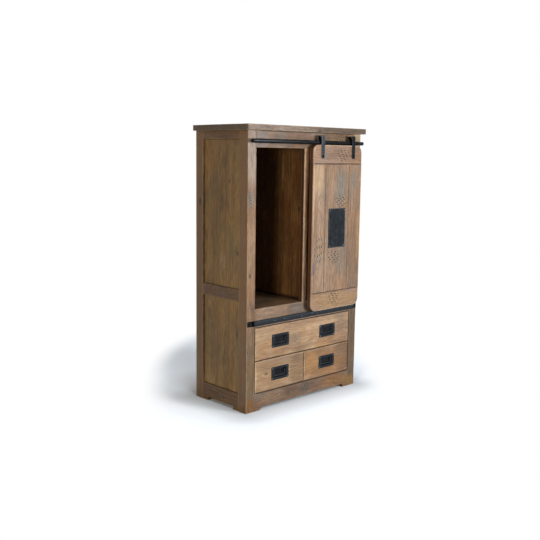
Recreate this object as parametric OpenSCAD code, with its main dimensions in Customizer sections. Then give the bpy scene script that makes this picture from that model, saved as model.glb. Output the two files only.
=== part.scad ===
// Highboard in rustic solid wood: a panelled carcase with an open compartment,
// a barn door that rolls along a round rail, one wide drawer and two half-width drawers.
// Millimetres. +Z is up, the front faces -Y, X = 0 is the middle of the body, Z = 0 is the floor.

/* [Carcase] */
// Height from the floor to the upper face of the top
total_h = 1500; // [1300:10:1800]
// Width over the corner posts
body_w = 856; // [760:4:1000]
// Depth over the corner posts
body_d = 423; // [380:1:520]
// Thickness of the top
top_t = 30; // [20:1:45]
// How far the top stands out at the front and at both sides
top_overhang = 22; // [10:1:26]
// Radius of the top's four upright corners
top_corner_r = 4; // [1:0.5:8]
// Width of the posts, seen from the front
post_w = 57; // [48:1:70]
// Depth of the front posts, seen from the side
post_front_d = 63; // [50:1:75]
// Depth of the back posts, seen from the side
post_back_d = 60; // [50:1:75]
// Thickness of the rails, the mullion and the drawer fronts
frame_t = 24; // [22:1:30]
// Thickness of the side panels
panel_t = 12; // [8:0.5:14]
// How far the side panels lie behind the face of their frames
panel_recess = 10; // [4:0.5:12]
// Thickness of the inner boards: floor, divider, web and partition
board_t = 18; // [12:1:22]
// Thickness of the back panels
back_panel_t = 10; // [6:0.5:14]
// Number of boards across the back
back_boards = 8; // [5:1:12]

/* [Frames] */
// Height of the front rail under the top
top_rail_h = 86; // [60:1:110]
// Height of the compartment floor above the room's floor
compartment_z = 553; // [500:1:620]
// Height of the rail between the compartment and the drawers
mid_rail_h = 95; // [85:1:120]
// Width of the mullion between the two openings
mullion_w = 49; // [36:1:70]
// Height of the feet, which is the gap under the aprons
foot_h = 18; // [12:1:40]
// Height of the aprons at the front, at the sides and at the back
apron_h = 77; // [60:1:100]
// Width of a foot, seen from the front
foot_front_w = 100; // [80:1:140]
// Width of a foot, seen from the side
foot_side_w = 104; // [80:1:130]
// Height of the side rails under the top
side_top_rail_h = 45; // [35:1:90]
// Height of the lower edge of the side rails at mid height
side_mid_z = 592; // [560:1:700]
// Height of the side rails at mid height
side_mid_rail_h = 61; // [45:1:80]
// Height of the back rails
back_rail_h = 70; // [50:1:90]

/* [Drawers] */
// Height of the line between the wide drawer and the two lower ones
row_split_z = 271; // [240:1:300]
// Gap over, under and between the drawer fronts
reveal = 3; // [2:0.5:5]
// Gap between a drawer front and the post beside it
side_reveal = 5; // [3:0.5:8]
// Free depth behind the drawer boxes
drawer_back_gap = 25; // [10:1:60]
// Thickness of the drawer boxes' sides and backs
drawer_wall = 12; // [9:0.5:15]
// Thickness of the drawer bottoms
drawer_bottom_t = 6; // [4:0.5:9]
// Height of the drawer bottoms above the lower edge of the sides
drawer_bottom_up = 8; // [4:1:15]
// Free height over the drawer boxes
drawer_head = 14; // [8:1:30]
// Running clearance under and beside the drawer boxes
drawer_run = 0.5; // [0.4:0.1:0.9]
// Height of the guide battens beside the drawers
batten_h = 30; // [20:1:45]

/* [Drawer pulls] */
// Width of a pull plate
pull_w = 128; // [120:1:150]
// Height of a pull plate
pull_h = 72; // [66:1:90]
// Thickness of a pull plate
pull_t = 2; // [1.5:0.1:3]
// Corner radius of a pull plate
pull_r = 6; // [3:0.5:9]
// Width of the sunk dish behind the plate
dish_w = 94; // [88:1:98]
// Height of the sunk dish behind the plate
dish_h = 50; // [46:1:54]
// Depth of the sunk dish behind the plate
dish_depth = 13; // [12:0.5:16]
// Sheet thickness of the dish
dish_wall = 1.5; // [1:0.1:2]
// Diameter of the swinging bail
bail_d = 6; // [5:0.25:7]
// Width over the arms of the bail
bail_w = 84; // [76:0.5:86]
// Distance from the bail's pivot to its grip
bail_reach = 27; // [22:0.5:29]
// Height of the bail's pivot over the middle of the dish
pivot_up = 12; // [9:0.5:15]
// Diameter of the bail's pivot pins
pivot_d = 4; // [3:0.25:5]
// Distance from the pull screws to the plate's edges
screw_inset = 8; // [7:0.25:9]
// Diameter of the pull screws' heads
screw_head_d = 7; // [5:0.25:8]
// Diameter of the pull screws' shanks
screw_d = 3.5; // [3:0.25:4]
// Height of the pull screws' heads
screw_head_h = 1.2; // [0.8:0.1:2]
// Length of the pull screws' shanks in the wood
screw_len = 14; // [8:1:18]

/* [Sliding door] */
// How far the door laps over the edges of the opening, left and right
door_lap = 25; // [15:0.5:30]
// Thickness of the door
door_t = 24; // [18:1:30]
// Gap between the door's back and the front of the carcase
door_gap = 16; // [14:0.5:24]
// Radius of the door's corners
door_corner_r = 42; // [20:1:60]
// Height of the door's top rail
door_top_rail_h = 103; // [85:1:130]
// Height of the door's bottom rail
door_bottom_rail_h = 101; // [80:1:130]
// Width of the door's two outer planks
door_plank_w = 104; // [80:1:120]
// Width of the metal plate on the door
plate_w = 134; // [100:1:150]
// Height of the metal plate on the door
plate_h = 218; // [160:1:260]
// Thickness of the metal plate on the door
plate_t = 3; // [2:0.25:4]
// Diameter of the heads of the rivets that hold the metal plate
rivet_d = 8; // [6:0.5:10]
// Diameter of the rivets' shanks
rivet_shank_d = 4; // [3:0.25:5]
// How far the rivets' shanks reach into the planks
rivet_len = 12; // [6:1:16]
// Distance from the rivets to the plate's edges
rivet_inset = 10; // [8:0.5:14]
// How far the rivets stand off the plate
rivet_h = 2; // [1:0.25:3]

/* [Door rail] */
// Diameter of the rail that the door hangs on
rod_d = 21; // [18:0.5:24]
// Distance from the rail's ends to the outer faces of the posts
rod_end_inset = 5; // [0:0.5:12]
// Distance from the front of the carcase to the rail's axis
rod_out = 25; // [24:0.5:28]
// Height of the rail's axis over the lower edge of the front rail
rod_up = 33; // [30:1:45]
// Height of the rail's axis over the door's upper edge
rod_over_door = 12; // [12:0.5:16]
// Diameter of the necks between the rail and its end knobs
neck_d = 17; // [12:0.5:18]
// Length of the necks between the rail and its end knobs
neck_len = 3; // [2:0.5:6]
// Diameter of the standoffs that carry the rail
standoff_d = 12; // [10:0.5:14]
// Distance from the outer standoffs to the rail's ends
standoff_inset = 28; // [26:1:60]

/* [Hangers] */
// Distance between the two hangers
hanger_spread = 248; // [200:1:280]
// Width of the hanger straps
strap_w = 24; // [20:1:30]
// Thickness of the hanger straps
strap_t = 4; // [3:0.25:5]
// How far the straps reach down over the door
strap_drop = 73; // [60:1:90]
// Radius of the wheels at the bottom of their groove
wheel_core_r = 10; // [9:0.25:12]
// Radius of the wheels' flanges
wheel_flange_r = 13; // [12.5:0.1:13.5]
// Width of the wheels
wheel_w = 16; // [14:0.5:17]
// Free height over the wheels, under the bend of the strap
wheel_head = 1.2; // [0.8:0.1:3]
// Gap between the wheel and the strap's back leg
back_leg_gap = 5; // [2:0.25:6]
// How far the strap's back leg reaches down past the wheel's axis
back_leg_drop = 7; // [5:0.5:9]
// Diameter of the wheel axles
axle_d = 6; // [5:0.5:8]
// Diameter of the hanger bolts' domed heads
bolt_head_d = 15; // [12:0.5:18]
// Height of the hanger bolts' domed heads
bolt_head_h = 5; // [3:0.5:6]
// Diameter of the hanger bolts' shanks
bolt_d = 7; // [6:0.5:8]
// Width of the hanger bolts' nuts across their flats
nut_w = 12; // [10:0.5:14]
// Height of the hanger bolts' nuts
nut_h = 5; // [4:0.5:6]

/* [Bottom guide] */
// Depth of the guide channel
guide_d = 17; // [15:0.5:20]
// Height of the guide channel
guide_h = 28; // [25:1:32]
// Wall thickness of the guide channel
guide_wall = 3; // [2:0.25:3.5]
// Height of the channel's lower edge over the rail's lower edge
guide_up = 6; // [4:1:20]
// Gap between the guide channel and the door's lower edge
guide_door_gap = 4; // [3:0.5:8]
// Length of the end plates on the posts
end_plate_w = 36; // [30:1:44]
// Thickness of the end plates
end_plate_t = 4; // [3:0.25:6]
// Distance from the end plates to the outer faces of the posts
end_plate_inset = 4; // [1:0.5:8]
// Diameter of the end plates' bolts
end_bolt_d = 7; // [5:0.5:8]
// How far the end plates' bolts reach into the posts
end_bolt_len = 28; // [15:1:40]
// Width of the end plates' bolt heads across their flats
end_bolt_w = 13; // [10:0.5:16]
// Height of the end plates' bolt heads
end_bolt_h = 4; // [3:0.5:6]
// Width of the guide shoes behind the door
shoe_w = 50; // [40:1:80]
// Height of the guide shoes' upper part on the door's back
shoe_pad_h = 26; // [20:1:40]
// Thickness of the shoes' tongues that run in the channel
tongue_t = 5; // [3:0.25:6]
// How far the tongues reach down into the channel
tongue_dip = 20; // [12:0.5:22]
// Gap between the tongue and the channel's front wall
tongue_gap = 1; // [0.6:0.1:1.5]

/* [Hidden] */
$fn = 48;

// Colours
waxed_wood = "#8f6f4d";
shaded_wood = "#6f5a3c";
inner_wood = "#5d4632";
black_iron = "#24272a";
worn_iron = "#4a4f55";
nylon = "#1c1c1c";

// Running clearance of pins in their holes, and the gap under screw heads
pin_clear = 0.05;
// Clearance of shanks and dishes in their wood
seat_clear = 0.1;
// How far the bails' pins end short of the dishes' outer faces
pin_short = 0.3;
// Clearance between the bails and the plane of the drawer fronts
bail_clear = 2;
// Clearance between the wheels' grooves and the rail
groove_clear = 0.3;

// Depths: the origin is under the middle of the whole object, hanger bolts included
front_reach = door_gap + door_t + strap_t + bolt_head_h;
face_y = (front_reach - body_d) / 2;
back_y = face_y + body_d;
frame_back_y = face_y + frame_t;
back_inner_y = back_y - frame_t;

// Widths
half_w = body_w / 2;
post_x = half_w - post_w;
side_inner_x = half_w - frame_t;

// Heights
body_h = total_h - top_t;
opening_top_z = body_h - top_rail_h;
mid_rail_z = compartment_z - mid_rail_h;
apron_top_z = foot_h + apron_h;
web_z = row_split_z - board_t;

// Door and its rail
opening_w = post_x - mullion_w / 2;
door_w = opening_w + 2 * door_lap;
door_x = (post_x + mullion_w / 2) / 2;
door_back_y = face_y - door_gap;
door_front_y = door_back_y - door_t;
rod_z = opening_top_z + rod_up;
rod_y = face_y - rod_out;
rod_r = rod_d / 2;
rod_len = body_w - 2 * rod_end_inset;
door_top_z = rod_z - rod_over_door;
guide_z = mid_rail_z + guide_up;
door_z = guide_z + guide_h + guide_door_gap;
door_h = door_top_z - door_z;

// Wheels and hangers
wheel_z = rod_z + rod_r + groove_clear + wheel_core_r;
strap_top_z = wheel_z + wheel_flange_r + wheel_head + strap_t;
strap_low_z = door_top_z - strap_drop;
strap_front_y = door_front_y - strap_t;
back_leg_y = rod_y + wheel_w / 2 + back_leg_gap;
bolt_z = strap_low_z + strap_w / 2;
hanger_x = [door_x - hanger_spread / 2, door_x + hanger_spread / 2];
standoff_x = rod_len / 2 - standoff_inset;

// Bottom guide
end_plate_x = half_w - end_plate_inset - end_plate_w;
tongue_y = face_y - guide_d + guide_wall + tongue_gap;

// Drawers
drawer_len = body_d - 2 * frame_t - drawer_back_gap;
front_half_w = post_x - side_reveal;
box_half_w = post_x - side_reveal - drawer_run;
lower_front_w = front_half_w - reveal / 2;
lower_box_w = box_half_w - board_t / 2 - drawer_run;
web_front_y = frame_back_y + reveal;
top_front_h = mid_rail_z - row_split_z - 1.5 * reveal;
lower_front_h = row_split_z - apron_top_z - 1.5 * reveal;
top_box_h = mid_rail_z - row_split_z - drawer_run - drawer_head;
lower_box_h = web_z - apron_top_z - drawer_run - drawer_head;
top_box_z = row_split_z + drawer_run;
lower_box_z = apron_top_z + drawer_run;
right_front_x = reveal / 2;
right_box_x = board_t / 2 + drawer_run;
top_front_z = row_split_z + reveal / 2;
lower_front_z = apron_top_z + reveal;
pull_x = front_half_w - lower_front_w / 2;
top_pull_z = top_front_z + top_front_h / 2;
lower_pull_z = lower_front_z + lower_front_h / 2;
bail_y = face_y + bail_d / 2 + bail_clear;

// Middle of an end plate, as [x, z]
function end_bolt_at(side) = [side * (end_plate_x + end_plate_w / 2), guide_z + guide_h / 2];

// A board between two opposite corners
module board(low, high) {
    translate(low)
        cube(high - low);
}

// Mirror copy for the right-hand side of the body
module at_side(side) {
    if (side > 0) {
        mirror([1, 0, 0])
            children();
    } else {
        children();
    }
}

// Rectangle with rounded corners, lower left corner at the origin
module rounded_rect(w, h, r) {
    translate([r, 0])
        square([w - 2 * r, h]);
    translate([0, r])
        square([w, h - 2 * r]);
    for (x = [r, w - r], y = [r, h - r])
        translate([x, y])
            circle(r);
}

// Upright plate, drawn in X and Z, whose back lies at y and which stands forward by t
module upright(y, t) {
    translate([0, y, 0])
        rotate([90, 0, 0])
            linear_extrude(t)
                children();
}

// Round bar along Y from y0 to y1
module bar_y(x, z, d, y0, y1) {
    translate([x, y1, z])
        rotate([90, 0, 0])
            cylinder(d = d, h = y1 - y0);
}

// Round bar along X from x0 to x1
module bar_x(y, z, d, x0, x1) {
    translate([x0, y, z])
        rotate([0, 90, 0])
            cylinder(d = d, h = x1 - x0);
}

// Six-sided head or nut, w across its flats
module hexagon(w, h) {
    cylinder(d = w / cos(30), h = h, $fn = 6);
}

// Board between the outer frames, cut out round the four posts
module notched_board(z, t, front_y) {
    board([-post_x, front_y, z], [post_x, back_inner_y, z + t]);
    board([-side_inner_x, face_y + post_front_d, z], [side_inner_x, back_y - post_back_d, z + t]);
}

module top_slab() {
    color(waxed_wood)
        translate([-half_w - top_overhang, face_y - top_overhang, body_h])
            linear_extrude(top_t)
                rounded_rect(body_w + 2 * top_overhang, body_d + top_overhang, top_corner_r);
}

// Posts
module front_post(side) {
    color(waxed_wood)
        at_side(side)
            difference() {
                board([-half_w, face_y, 0], [-post_x, face_y + post_front_d, body_h]);
                bar_y(end_bolt_at(-1)[0], end_bolt_at(-1)[1], end_bolt_d + 2 * seat_clear,
                      face_y - 1, face_y + end_bolt_len + seat_clear);
            }
}

module back_post(side) {
    color(shaded_wood)
        at_side(side)
            board([-half_w, back_y - post_back_d, 0], [-post_x, back_y, body_h]);
}

// Side frames
module side_rail(side, z0, z1) {
    color(shaded_wood)
        at_side(side)
            board([-half_w, face_y + post_front_d, z0], [-side_inner_x, back_y - post_back_d, z1]);
}

module side_apron(side) {
    color(shaded_wood)
        at_side(side)
            difference() {
                board([-half_w, face_y + post_front_d, 0],
                      [-side_inner_x, back_y - post_back_d, apron_top_z]);
                board([-half_w - 1, face_y + foot_side_w, -1],
                      [-side_inner_x + 1, back_y - foot_side_w, foot_h]);
            }
}

module side_panel(z0, z1) {
    outer_x = -half_w + panel_recess;
    board([outer_x, face_y + post_front_d, z0], [outer_x + panel_t, back_y - post_back_d, z1]);
}

module side_panels(side) {
    color(shaded_wood)
        at_side(side) {
            side_panel(apron_top_z, side_mid_z);
            side_panel(side_mid_z + side_mid_rail_h, body_h - side_top_rail_h);
        }
}

// Front frame
module front_rail(z0, z1) {
    color(waxed_wood)
        board([-post_x, face_y, z0], [post_x, frame_back_y, z1]);
}

module front_apron() {
    cut_x = half_w - foot_front_w;
    color(waxed_wood)
        difference() {
            board([-post_x, face_y, 0], [post_x, frame_back_y, apron_top_z]);
            board([-cut_x, face_y - 1, -1], [cut_x, frame_back_y + 1, foot_h]);
        }
}

module mullion() {
    color(waxed_wood)
        board([-mullion_w / 2, face_y, compartment_z], [mullion_w / 2, frame_back_y, opening_top_z]);
}

// Back
module back_rail(z0, z1) {
    board([-post_x, back_inner_y, z0], [post_x, back_y, z1]);
}

module back_rails() {
    color(inner_wood) {
        back_rail(foot_h, apron_top_z);
        back_rail(compartment_z - back_rail_h, compartment_z);
        back_rail(body_h - back_rail_h, body_h);
    }
}

module back_panel(z0, z1) {
    pitch = 2 * post_x / back_boards;
    groove = 2;
    difference() {
        board([-post_x, back_inner_y, z0], [post_x, back_inner_y + back_panel_t, z1]);
        for (i = [1 : back_boards - 1])
            translate([-post_x + i * pitch, back_inner_y + back_panel_t, z0 - 1])
                rotate([0, 0, 45])
                    translate([-groove, -groove, 0])
                        cube([2 * groove, 2 * groove, z1 - z0 + 2]);
    }
}

module back_panels() {
    color(inner_wood) {
        back_panel(apron_top_z, compartment_z - back_rail_h);
        back_panel(compartment_z, body_h - back_rail_h);
    }
}

// Inner boards
module compartment_floor() {
    color(inner_wood)
        notched_board(compartment_z - board_t, board_t, frame_back_y);
}

module centre_divider() {
    color(inner_wood)
        board([-board_t / 2, frame_back_y, compartment_z], [board_t / 2, back_inner_y, body_h]);
}

module drawer_web() {
    color(inner_wood)
        notched_board(web_z, board_t, web_front_y);
}

module bottom_board() {
    color(inner_wood)
        notched_board(apron_top_z - board_t, board_t, frame_back_y);
}

module drawer_partition() {
    color(inner_wood)
        board([-board_t / 2, web_front_y, apron_top_z], [board_t / 2, back_inner_y, web_z]);
}

// Battens that guide the drawers between the posts
module drawer_battens() {
    y0 = face_y + post_front_d;
    y1 = back_y - post_back_d;
    color(inner_wood)
        for (side = [-1, 1], z = [apron_top_z, row_split_z])
            at_side(side)
                board([-side_inner_x, y0, z], [-box_half_w - drawer_run, y1, z + batten_h]);
}

// Rail for the door
module rail_rod() {
    knob_x = rod_len / 2 - rod_r;
    straight_x = knob_x - rod_r - neck_len;
    color(black_iron) {
        bar_x(rod_y, rod_z, rod_d, -straight_x, straight_x);
        bar_x(rod_y, rod_z, neck_d, -knob_x, knob_x);
        for (x = [-knob_x, knob_x])
            translate([x, rod_y, rod_z])
                sphere(d = rod_d);
    }
}

module rod_standoffs() {
    color(black_iron)
        for (x = [-standoff_x, 0, standoff_x])
            difference() {
                bar_y(x, rod_z, standoff_d, rod_y, face_y);
                bar_x(rod_y, rod_z, rod_d, x - standoff_d, x + standoff_d);
            }
}

// Channel under the door, open at the top
module guide_channel() {
    color(worn_iron)
        difference() {
            board([-end_plate_x, face_y - guide_d, guide_z], [end_plate_x, face_y, guide_z + guide_h]);
            board([-end_plate_x - 1, face_y - guide_d + guide_wall, guide_z + guide_wall],
                  [end_plate_x + 1, face_y - guide_wall, guide_z + guide_h + 1]);
        }
}

module guide_end_plates() {
    color(black_iron)
        for (side = [-1, 1])
            difference() {
                at_side(side)
                    board([-end_plate_x - end_plate_w, face_y - end_plate_t, guide_z],
                          [-end_plate_x, face_y, guide_z + guide_h]);
                bar_y(end_bolt_at(side)[0], end_bolt_at(side)[1], end_bolt_d + 2 * seat_clear,
                      face_y - end_plate_t - 1, face_y + 1);
            }
}

module guide_bolts() {
    color(worn_iron)
        for (side = [-1, 1])
            translate([end_bolt_at(side)[0], face_y + end_bolt_len, end_bolt_at(side)[1]])
                rotate([90, 0, 0]) {
                    cylinder(d = end_bolt_d, h = end_bolt_len + end_plate_t + end_bolt_h);
                    translate([0, 0, end_bolt_len + end_plate_t])
                        hexagon(end_bolt_w, end_bolt_h);
                }
}

// Sliding door
module door_outline() {
    translate([door_x - door_w / 2, door_z])
        rounded_rect(door_w, door_h, door_corner_r);
}

module door_part(x0, x1, z0, z1) {
    color(waxed_wood)
        difference() {
            upright(door_back_y, door_t)
                intersection() {
                    door_outline();
                    translate([door_x + x0, door_z + z0])
                        square([x1 - x0, z1 - z0]);
                }
            for (x = hanger_x)
                bar_y(x, bolt_z, bolt_d + 2 * seat_clear, door_front_y - 1, door_back_y + 1);
            for (spot = rivet_spots())
                bar_y(spot[0], spot[1], rivet_shank_d + 2 * seat_clear,
                      door_front_y - 1, door_front_y + rivet_len + seat_clear);
        }
}

module door_plank(x0, x1) {
    door_part(x0, x1, door_bottom_rail_h, door_h - door_top_rail_h);
}

// Centres of the four rivets, as [x, z]
function rivet_spots() = [
    for (sx = [-1, 1], sz = [-1, 1])
        [door_x + sx * (plate_w / 2 - rivet_inset), door_z + door_h / 2 + sz * (plate_h / 2 - rivet_inset)]
];

module door_plate() {
    color(black_iron)
        difference() {
            upright(door_front_y, plate_t)
                translate([door_x - plate_w / 2, door_z + (door_h - plate_h) / 2])
                    square([plate_w, plate_h]);
            for (spot = rivet_spots())
                bar_y(spot[0], spot[1], rivet_shank_d + 2 * seat_clear,
                      door_front_y - plate_t - 1, door_front_y + 1);
        }
}

// Round head, drawn upwards from Z = 0
module dome(d, h) {
    dome_r = (d * d / 4 + h * h) / (2 * h);
    intersection() {
        cylinder(d = d, h = h);
        translate([0, 0, h - dome_r])
            sphere(r = dome_r);
    }
}

module plate_rivets() {
    color(worn_iron)
        for (spot = rivet_spots())
            translate([spot[0], door_front_y + rivet_len, spot[1]])
                rotate([90, 0, 0]) {
                    cylinder(d = rivet_shank_d, h = rivet_len + plate_t);
                    translate([0, 0, rivet_len + plate_t])
                        dome(rivet_d, rivet_h);
                }
}

// Strap that hooks over the wheel and runs down the face of the door
module hanger(x) {
    color(worn_iron)
        difference() {
            union() {
                upright(door_front_y, strap_t) {
                    translate([x - strap_w / 2, bolt_z])
                        square([strap_w, strap_top_z - bolt_z]);
                    translate([x, bolt_z])
                        circle(d = strap_w);
                }
                board([x - strap_w / 2, door_front_y, strap_top_z - strap_t],
                      [x + strap_w / 2, back_leg_y + strap_t, strap_top_z]);
                board([x - strap_w / 2, back_leg_y, wheel_z - back_leg_drop],
                      [x + strap_w / 2, back_leg_y + strap_t, strap_top_z]);
            }
            bar_y(x, wheel_z, axle_d + 2 * pin_clear, strap_front_y - 1, back_leg_y + strap_t + 1);
            bar_y(x, bolt_z, bolt_d + 2 * seat_clear, strap_front_y - 1, door_front_y + 1);
        }
}

// Bolts through the straps and the door, with their nuts, and the wheels' axles
module hanger_bolts() {
    color(black_iron)
        for (x = hanger_x) {
            bar_y(x, bolt_z, bolt_d, strap_front_y, door_back_y + nut_h);
            translate([x, strap_front_y, bolt_z])
                rotate([90, 0, 0])
                    dome(bolt_head_d, bolt_head_h);
            translate([x, door_back_y + nut_h, bolt_z])
                rotate([90, 0, 0])
                    hexagon(nut_w, nut_h);
            bar_y(x, wheel_z, axle_d, strap_front_y, back_leg_y + strap_t);
        }
}

// Grooved wheel that rides on the rail
module wheel(x) {
    color(black_iron)
        translate([x, rod_y, wheel_z])
            rotate([90, 0, 0])
                rotate_extrude()
                    difference() {
                        translate([axle_d / 2 + pin_clear, -wheel_w / 2])
                            square([wheel_flange_r - axle_d / 2 - pin_clear, wheel_w]);
                        translate([wheel_core_r + rod_r + groove_clear, 0])
                            circle(rod_r + groove_clear);
                    }
}

// Shoes on the door's back, with tongues that run in the channel
module guide_shoes() {
    color(nylon)
        for (x = hanger_x) {
            board([x - shoe_w / 2, door_back_y, door_z],
                  [x + shoe_w / 2, tongue_y + tongue_t, door_z + shoe_pad_h]);
            board([x - shoe_w / 2, tongue_y, guide_z + guide_h - tongue_dip],
                  [x + shoe_w / 2, tongue_y + tongue_t, door_z]);
        }
}

// Pull at the middle (x, z) of its plate
module at_pull(x, z) {
    translate([x, face_y, z])
        rotate([90, 0, 0])
            children();
}

function screw_spots() = [
    for (sx = [-1, 1], sz = [-1, 1]) [sx * (pull_w / 2 - screw_inset), sz * (pull_h / 2 - screw_inset)]
];

// Pocket and pilot holes that a pull needs in its drawer front
module pull_pocket(x, z) {
    pocket_w = dish_w + 2 * seat_clear;
    pocket_h = dish_h + 2 * seat_clear;
    at_pull(x, z) {
        translate([-pocket_w / 2, -pocket_h / 2, -dish_depth - seat_clear])
            cube([pocket_w, pocket_h, dish_depth + seat_clear + 1]);
        for (spot = screw_spots())
            translate([spot[0], spot[1], -screw_len - 1])
                cylinder(d = screw_d + 2 * seat_clear, h = screw_len + 2);
    }
}

module pull_plate() {
    inner_w = dish_w - 2 * dish_wall;
    inner_h = dish_h - 2 * dish_wall;
    difference() {
        union() {
            translate([-pull_w / 2, -pull_h / 2, 0])
                linear_extrude(pull_t)
                    rounded_rect(pull_w, pull_h, pull_r);
            translate([-dish_w / 2, -dish_h / 2, -dish_depth])
                cube([dish_w, dish_h, dish_depth]);
        }
        translate([-inner_w / 2, -inner_h / 2, -dish_depth + dish_wall])
            cube([inner_w, inner_h, dish_depth + pull_t]);
        translate([-dish_w, pivot_up, face_y - bail_y])
            rotate([0, 90, 0])
                cylinder(d = pivot_d + 2 * pin_clear, h = 2 * dish_w);
        for (spot = screw_spots())
            translate([spot[0], spot[1], -1])
                cylinder(d = screw_d + 2 * seat_clear, h = pull_t + 2);
    }
}

module pull_screws() {
    for (spot = screw_spots())
        translate([spot[0], spot[1], -screw_len]) {
            cylinder(d = screw_d, h = screw_len + pull_t + screw_head_h);
            translate([0, 0, screw_len + pull_t + pin_clear])
                cylinder(d = screw_head_d, h = screw_head_h);
        }
}

module pull(x, z) {
    color(black_iron)
        at_pull(x, z) {
            pull_plate();
            pull_screws();
        }
}

// Bail that hangs in the dish on two pins
module bail(x, z) {
    arm_x = (bail_w - bail_d) / 2;
    pin_x = dish_w / 2 - pin_short;
    pivot_z = z + pivot_up;
    grip_z = pivot_z - bail_reach;
    color(worn_iron)
        translate([x, bail_y, 0]) {
            bar_x(0, pivot_z, pivot_d, -pin_x, -arm_x);
            bar_x(0, pivot_z, pivot_d, arm_x, pin_x);
            bar_x(0, grip_z, bail_d, -arm_x, arm_x);
            for (sx = [-arm_x, arm_x]) {
                translate([sx, 0, grip_z])
                    cylinder(d = bail_d, h = bail_reach);
                translate([sx, 0, grip_z])
                    sphere(d = bail_d);
                translate([sx, 0, pivot_z])
                    sphere(d = bail_d);
            }
        }
}

// Drawers, from the left edge x0 of the front or the box
module drawer_front(x0, w, z, h, pulls) {
    color(waxed_wood)
        difference() {
            board([x0, face_y, z], [x0 + w, frame_back_y, z + h]);
            for (at = pulls)
                pull_pocket(at[0], at[1]);
        }
}

module drawer_walls(x0, w, z, h) {
    y0 = frame_back_y;
    y1 = frame_back_y + drawer_len;
    inset = drawer_wall + seat_clear;
    color(inner_wood) {
        board([x0, y0, z], [x0 + drawer_wall, y1, z + h]);
        board([x0 + w - drawer_wall, y0, z], [x0 + w, y1, z + h]);
        board([x0 + inset, y1 - drawer_wall, z], [x0 + w - inset, y1, z + h]);
    }
}

module drawer_bottom(x0, w, z) {
    low_z = z + drawer_bottom_up;
    color(inner_wood)
        board([x0 + drawer_wall, frame_back_y, low_z],
              [x0 + w - drawer_wall, frame_back_y + drawer_len - drawer_wall, low_z + drawer_bottom_t]);
}

top_slab();
front_post(-1);  // front_post_left
front_post(1);  // front_post_right
back_post(-1);  // back_post_left
back_post(1);  // back_post_right
side_rail(-1, body_h - side_top_rail_h, body_h);  // side_top_rail_left
side_rail(1, body_h - side_top_rail_h, body_h);  // side_top_rail_right
side_rail(-1, side_mid_z, side_mid_z + side_mid_rail_h);  // side_mid_rail_left
side_rail(1, side_mid_z, side_mid_z + side_mid_rail_h);  // side_mid_rail_right
side_apron(-1);  // side_apron_left
side_apron(1);  // side_apron_right
side_panels(-1);  // side_panels_left
side_panels(1);  // side_panels_right
front_rail(opening_top_z, body_h);  // front_top_rail
front_rail(mid_rail_z, compartment_z);  // front_mid_rail
front_apron();
mullion();
back_rails();
back_panels();
compartment_floor();
centre_divider();
drawer_web();
bottom_board();
drawer_partition();
drawer_battens();
rail_rod();
rod_standoffs();
guide_channel();
guide_end_plates();
guide_bolts();
door_part(-door_w / 2, door_w / 2, door_h - door_top_rail_h, door_h);  // door_top_rail
door_part(-door_w / 2, door_w / 2, 0, door_bottom_rail_h);  // door_bottom_rail
door_plank(-door_w / 2, door_plank_w - door_w / 2);  // door_plank_left
door_plank(door_plank_w - door_w / 2, door_w / 2 - door_plank_w);  // door_plank_middle
door_plank(door_w / 2 - door_plank_w, door_w / 2);  // door_plank_right
door_plate();
plate_rivets();
hanger(hanger_x[0]);  // hanger_left
hanger(hanger_x[1]);  // hanger_right
hanger_bolts();
guide_shoes();
wheel(hanger_x[0]);  // wheel_left
wheel(hanger_x[1]);  // wheel_right
drawer_front(-front_half_w, 2 * front_half_w, top_front_z, top_front_h,  // top_drawer_front
                 [[-pull_x, top_pull_z], [pull_x, top_pull_z]]);
drawer_walls(-box_half_w, 2 * box_half_w, top_box_z, top_box_h);  // top_drawer_walls
drawer_bottom(-box_half_w, 2 * box_half_w, top_box_z);  // top_drawer_bottom
pull(-pull_x, top_pull_z);  // pull_top_left
pull(pull_x, top_pull_z);  // pull_top_right
drawer_front(-front_half_w, lower_front_w, lower_front_z, lower_front_h, [[-pull_x, lower_pull_z]]);  // left_drawer_front
drawer_walls(-box_half_w, lower_box_w, lower_box_z, lower_box_h);  // left_drawer_walls
drawer_bottom(-box_half_w, lower_box_w, lower_box_z);  // left_drawer_bottom
pull(-pull_x, lower_pull_z);  // pull_lower_left
drawer_front(right_front_x, lower_front_w, lower_front_z, lower_front_h, [[pull_x, lower_pull_z]]);  // right_drawer_front
drawer_walls(right_box_x, lower_box_w, lower_box_z, lower_box_h);  // right_drawer_walls
drawer_bottom(right_box_x, lower_box_w, lower_box_z);  // right_drawer_bottom
pull(pull_x, lower_pull_z);  // pull_lower_right
bail(-pull_x, top_pull_z);  // bail_top_left
bail(pull_x, top_pull_z);  // bail_top_right
bail(-pull_x, lower_pull_z);  // bail_lower_left
bail(pull_x, lower_pull_z);  // bail_lower_right
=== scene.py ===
import math
import random

import bmesh
import bpy
from mathutils import Matrix, Vector, noise


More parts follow.
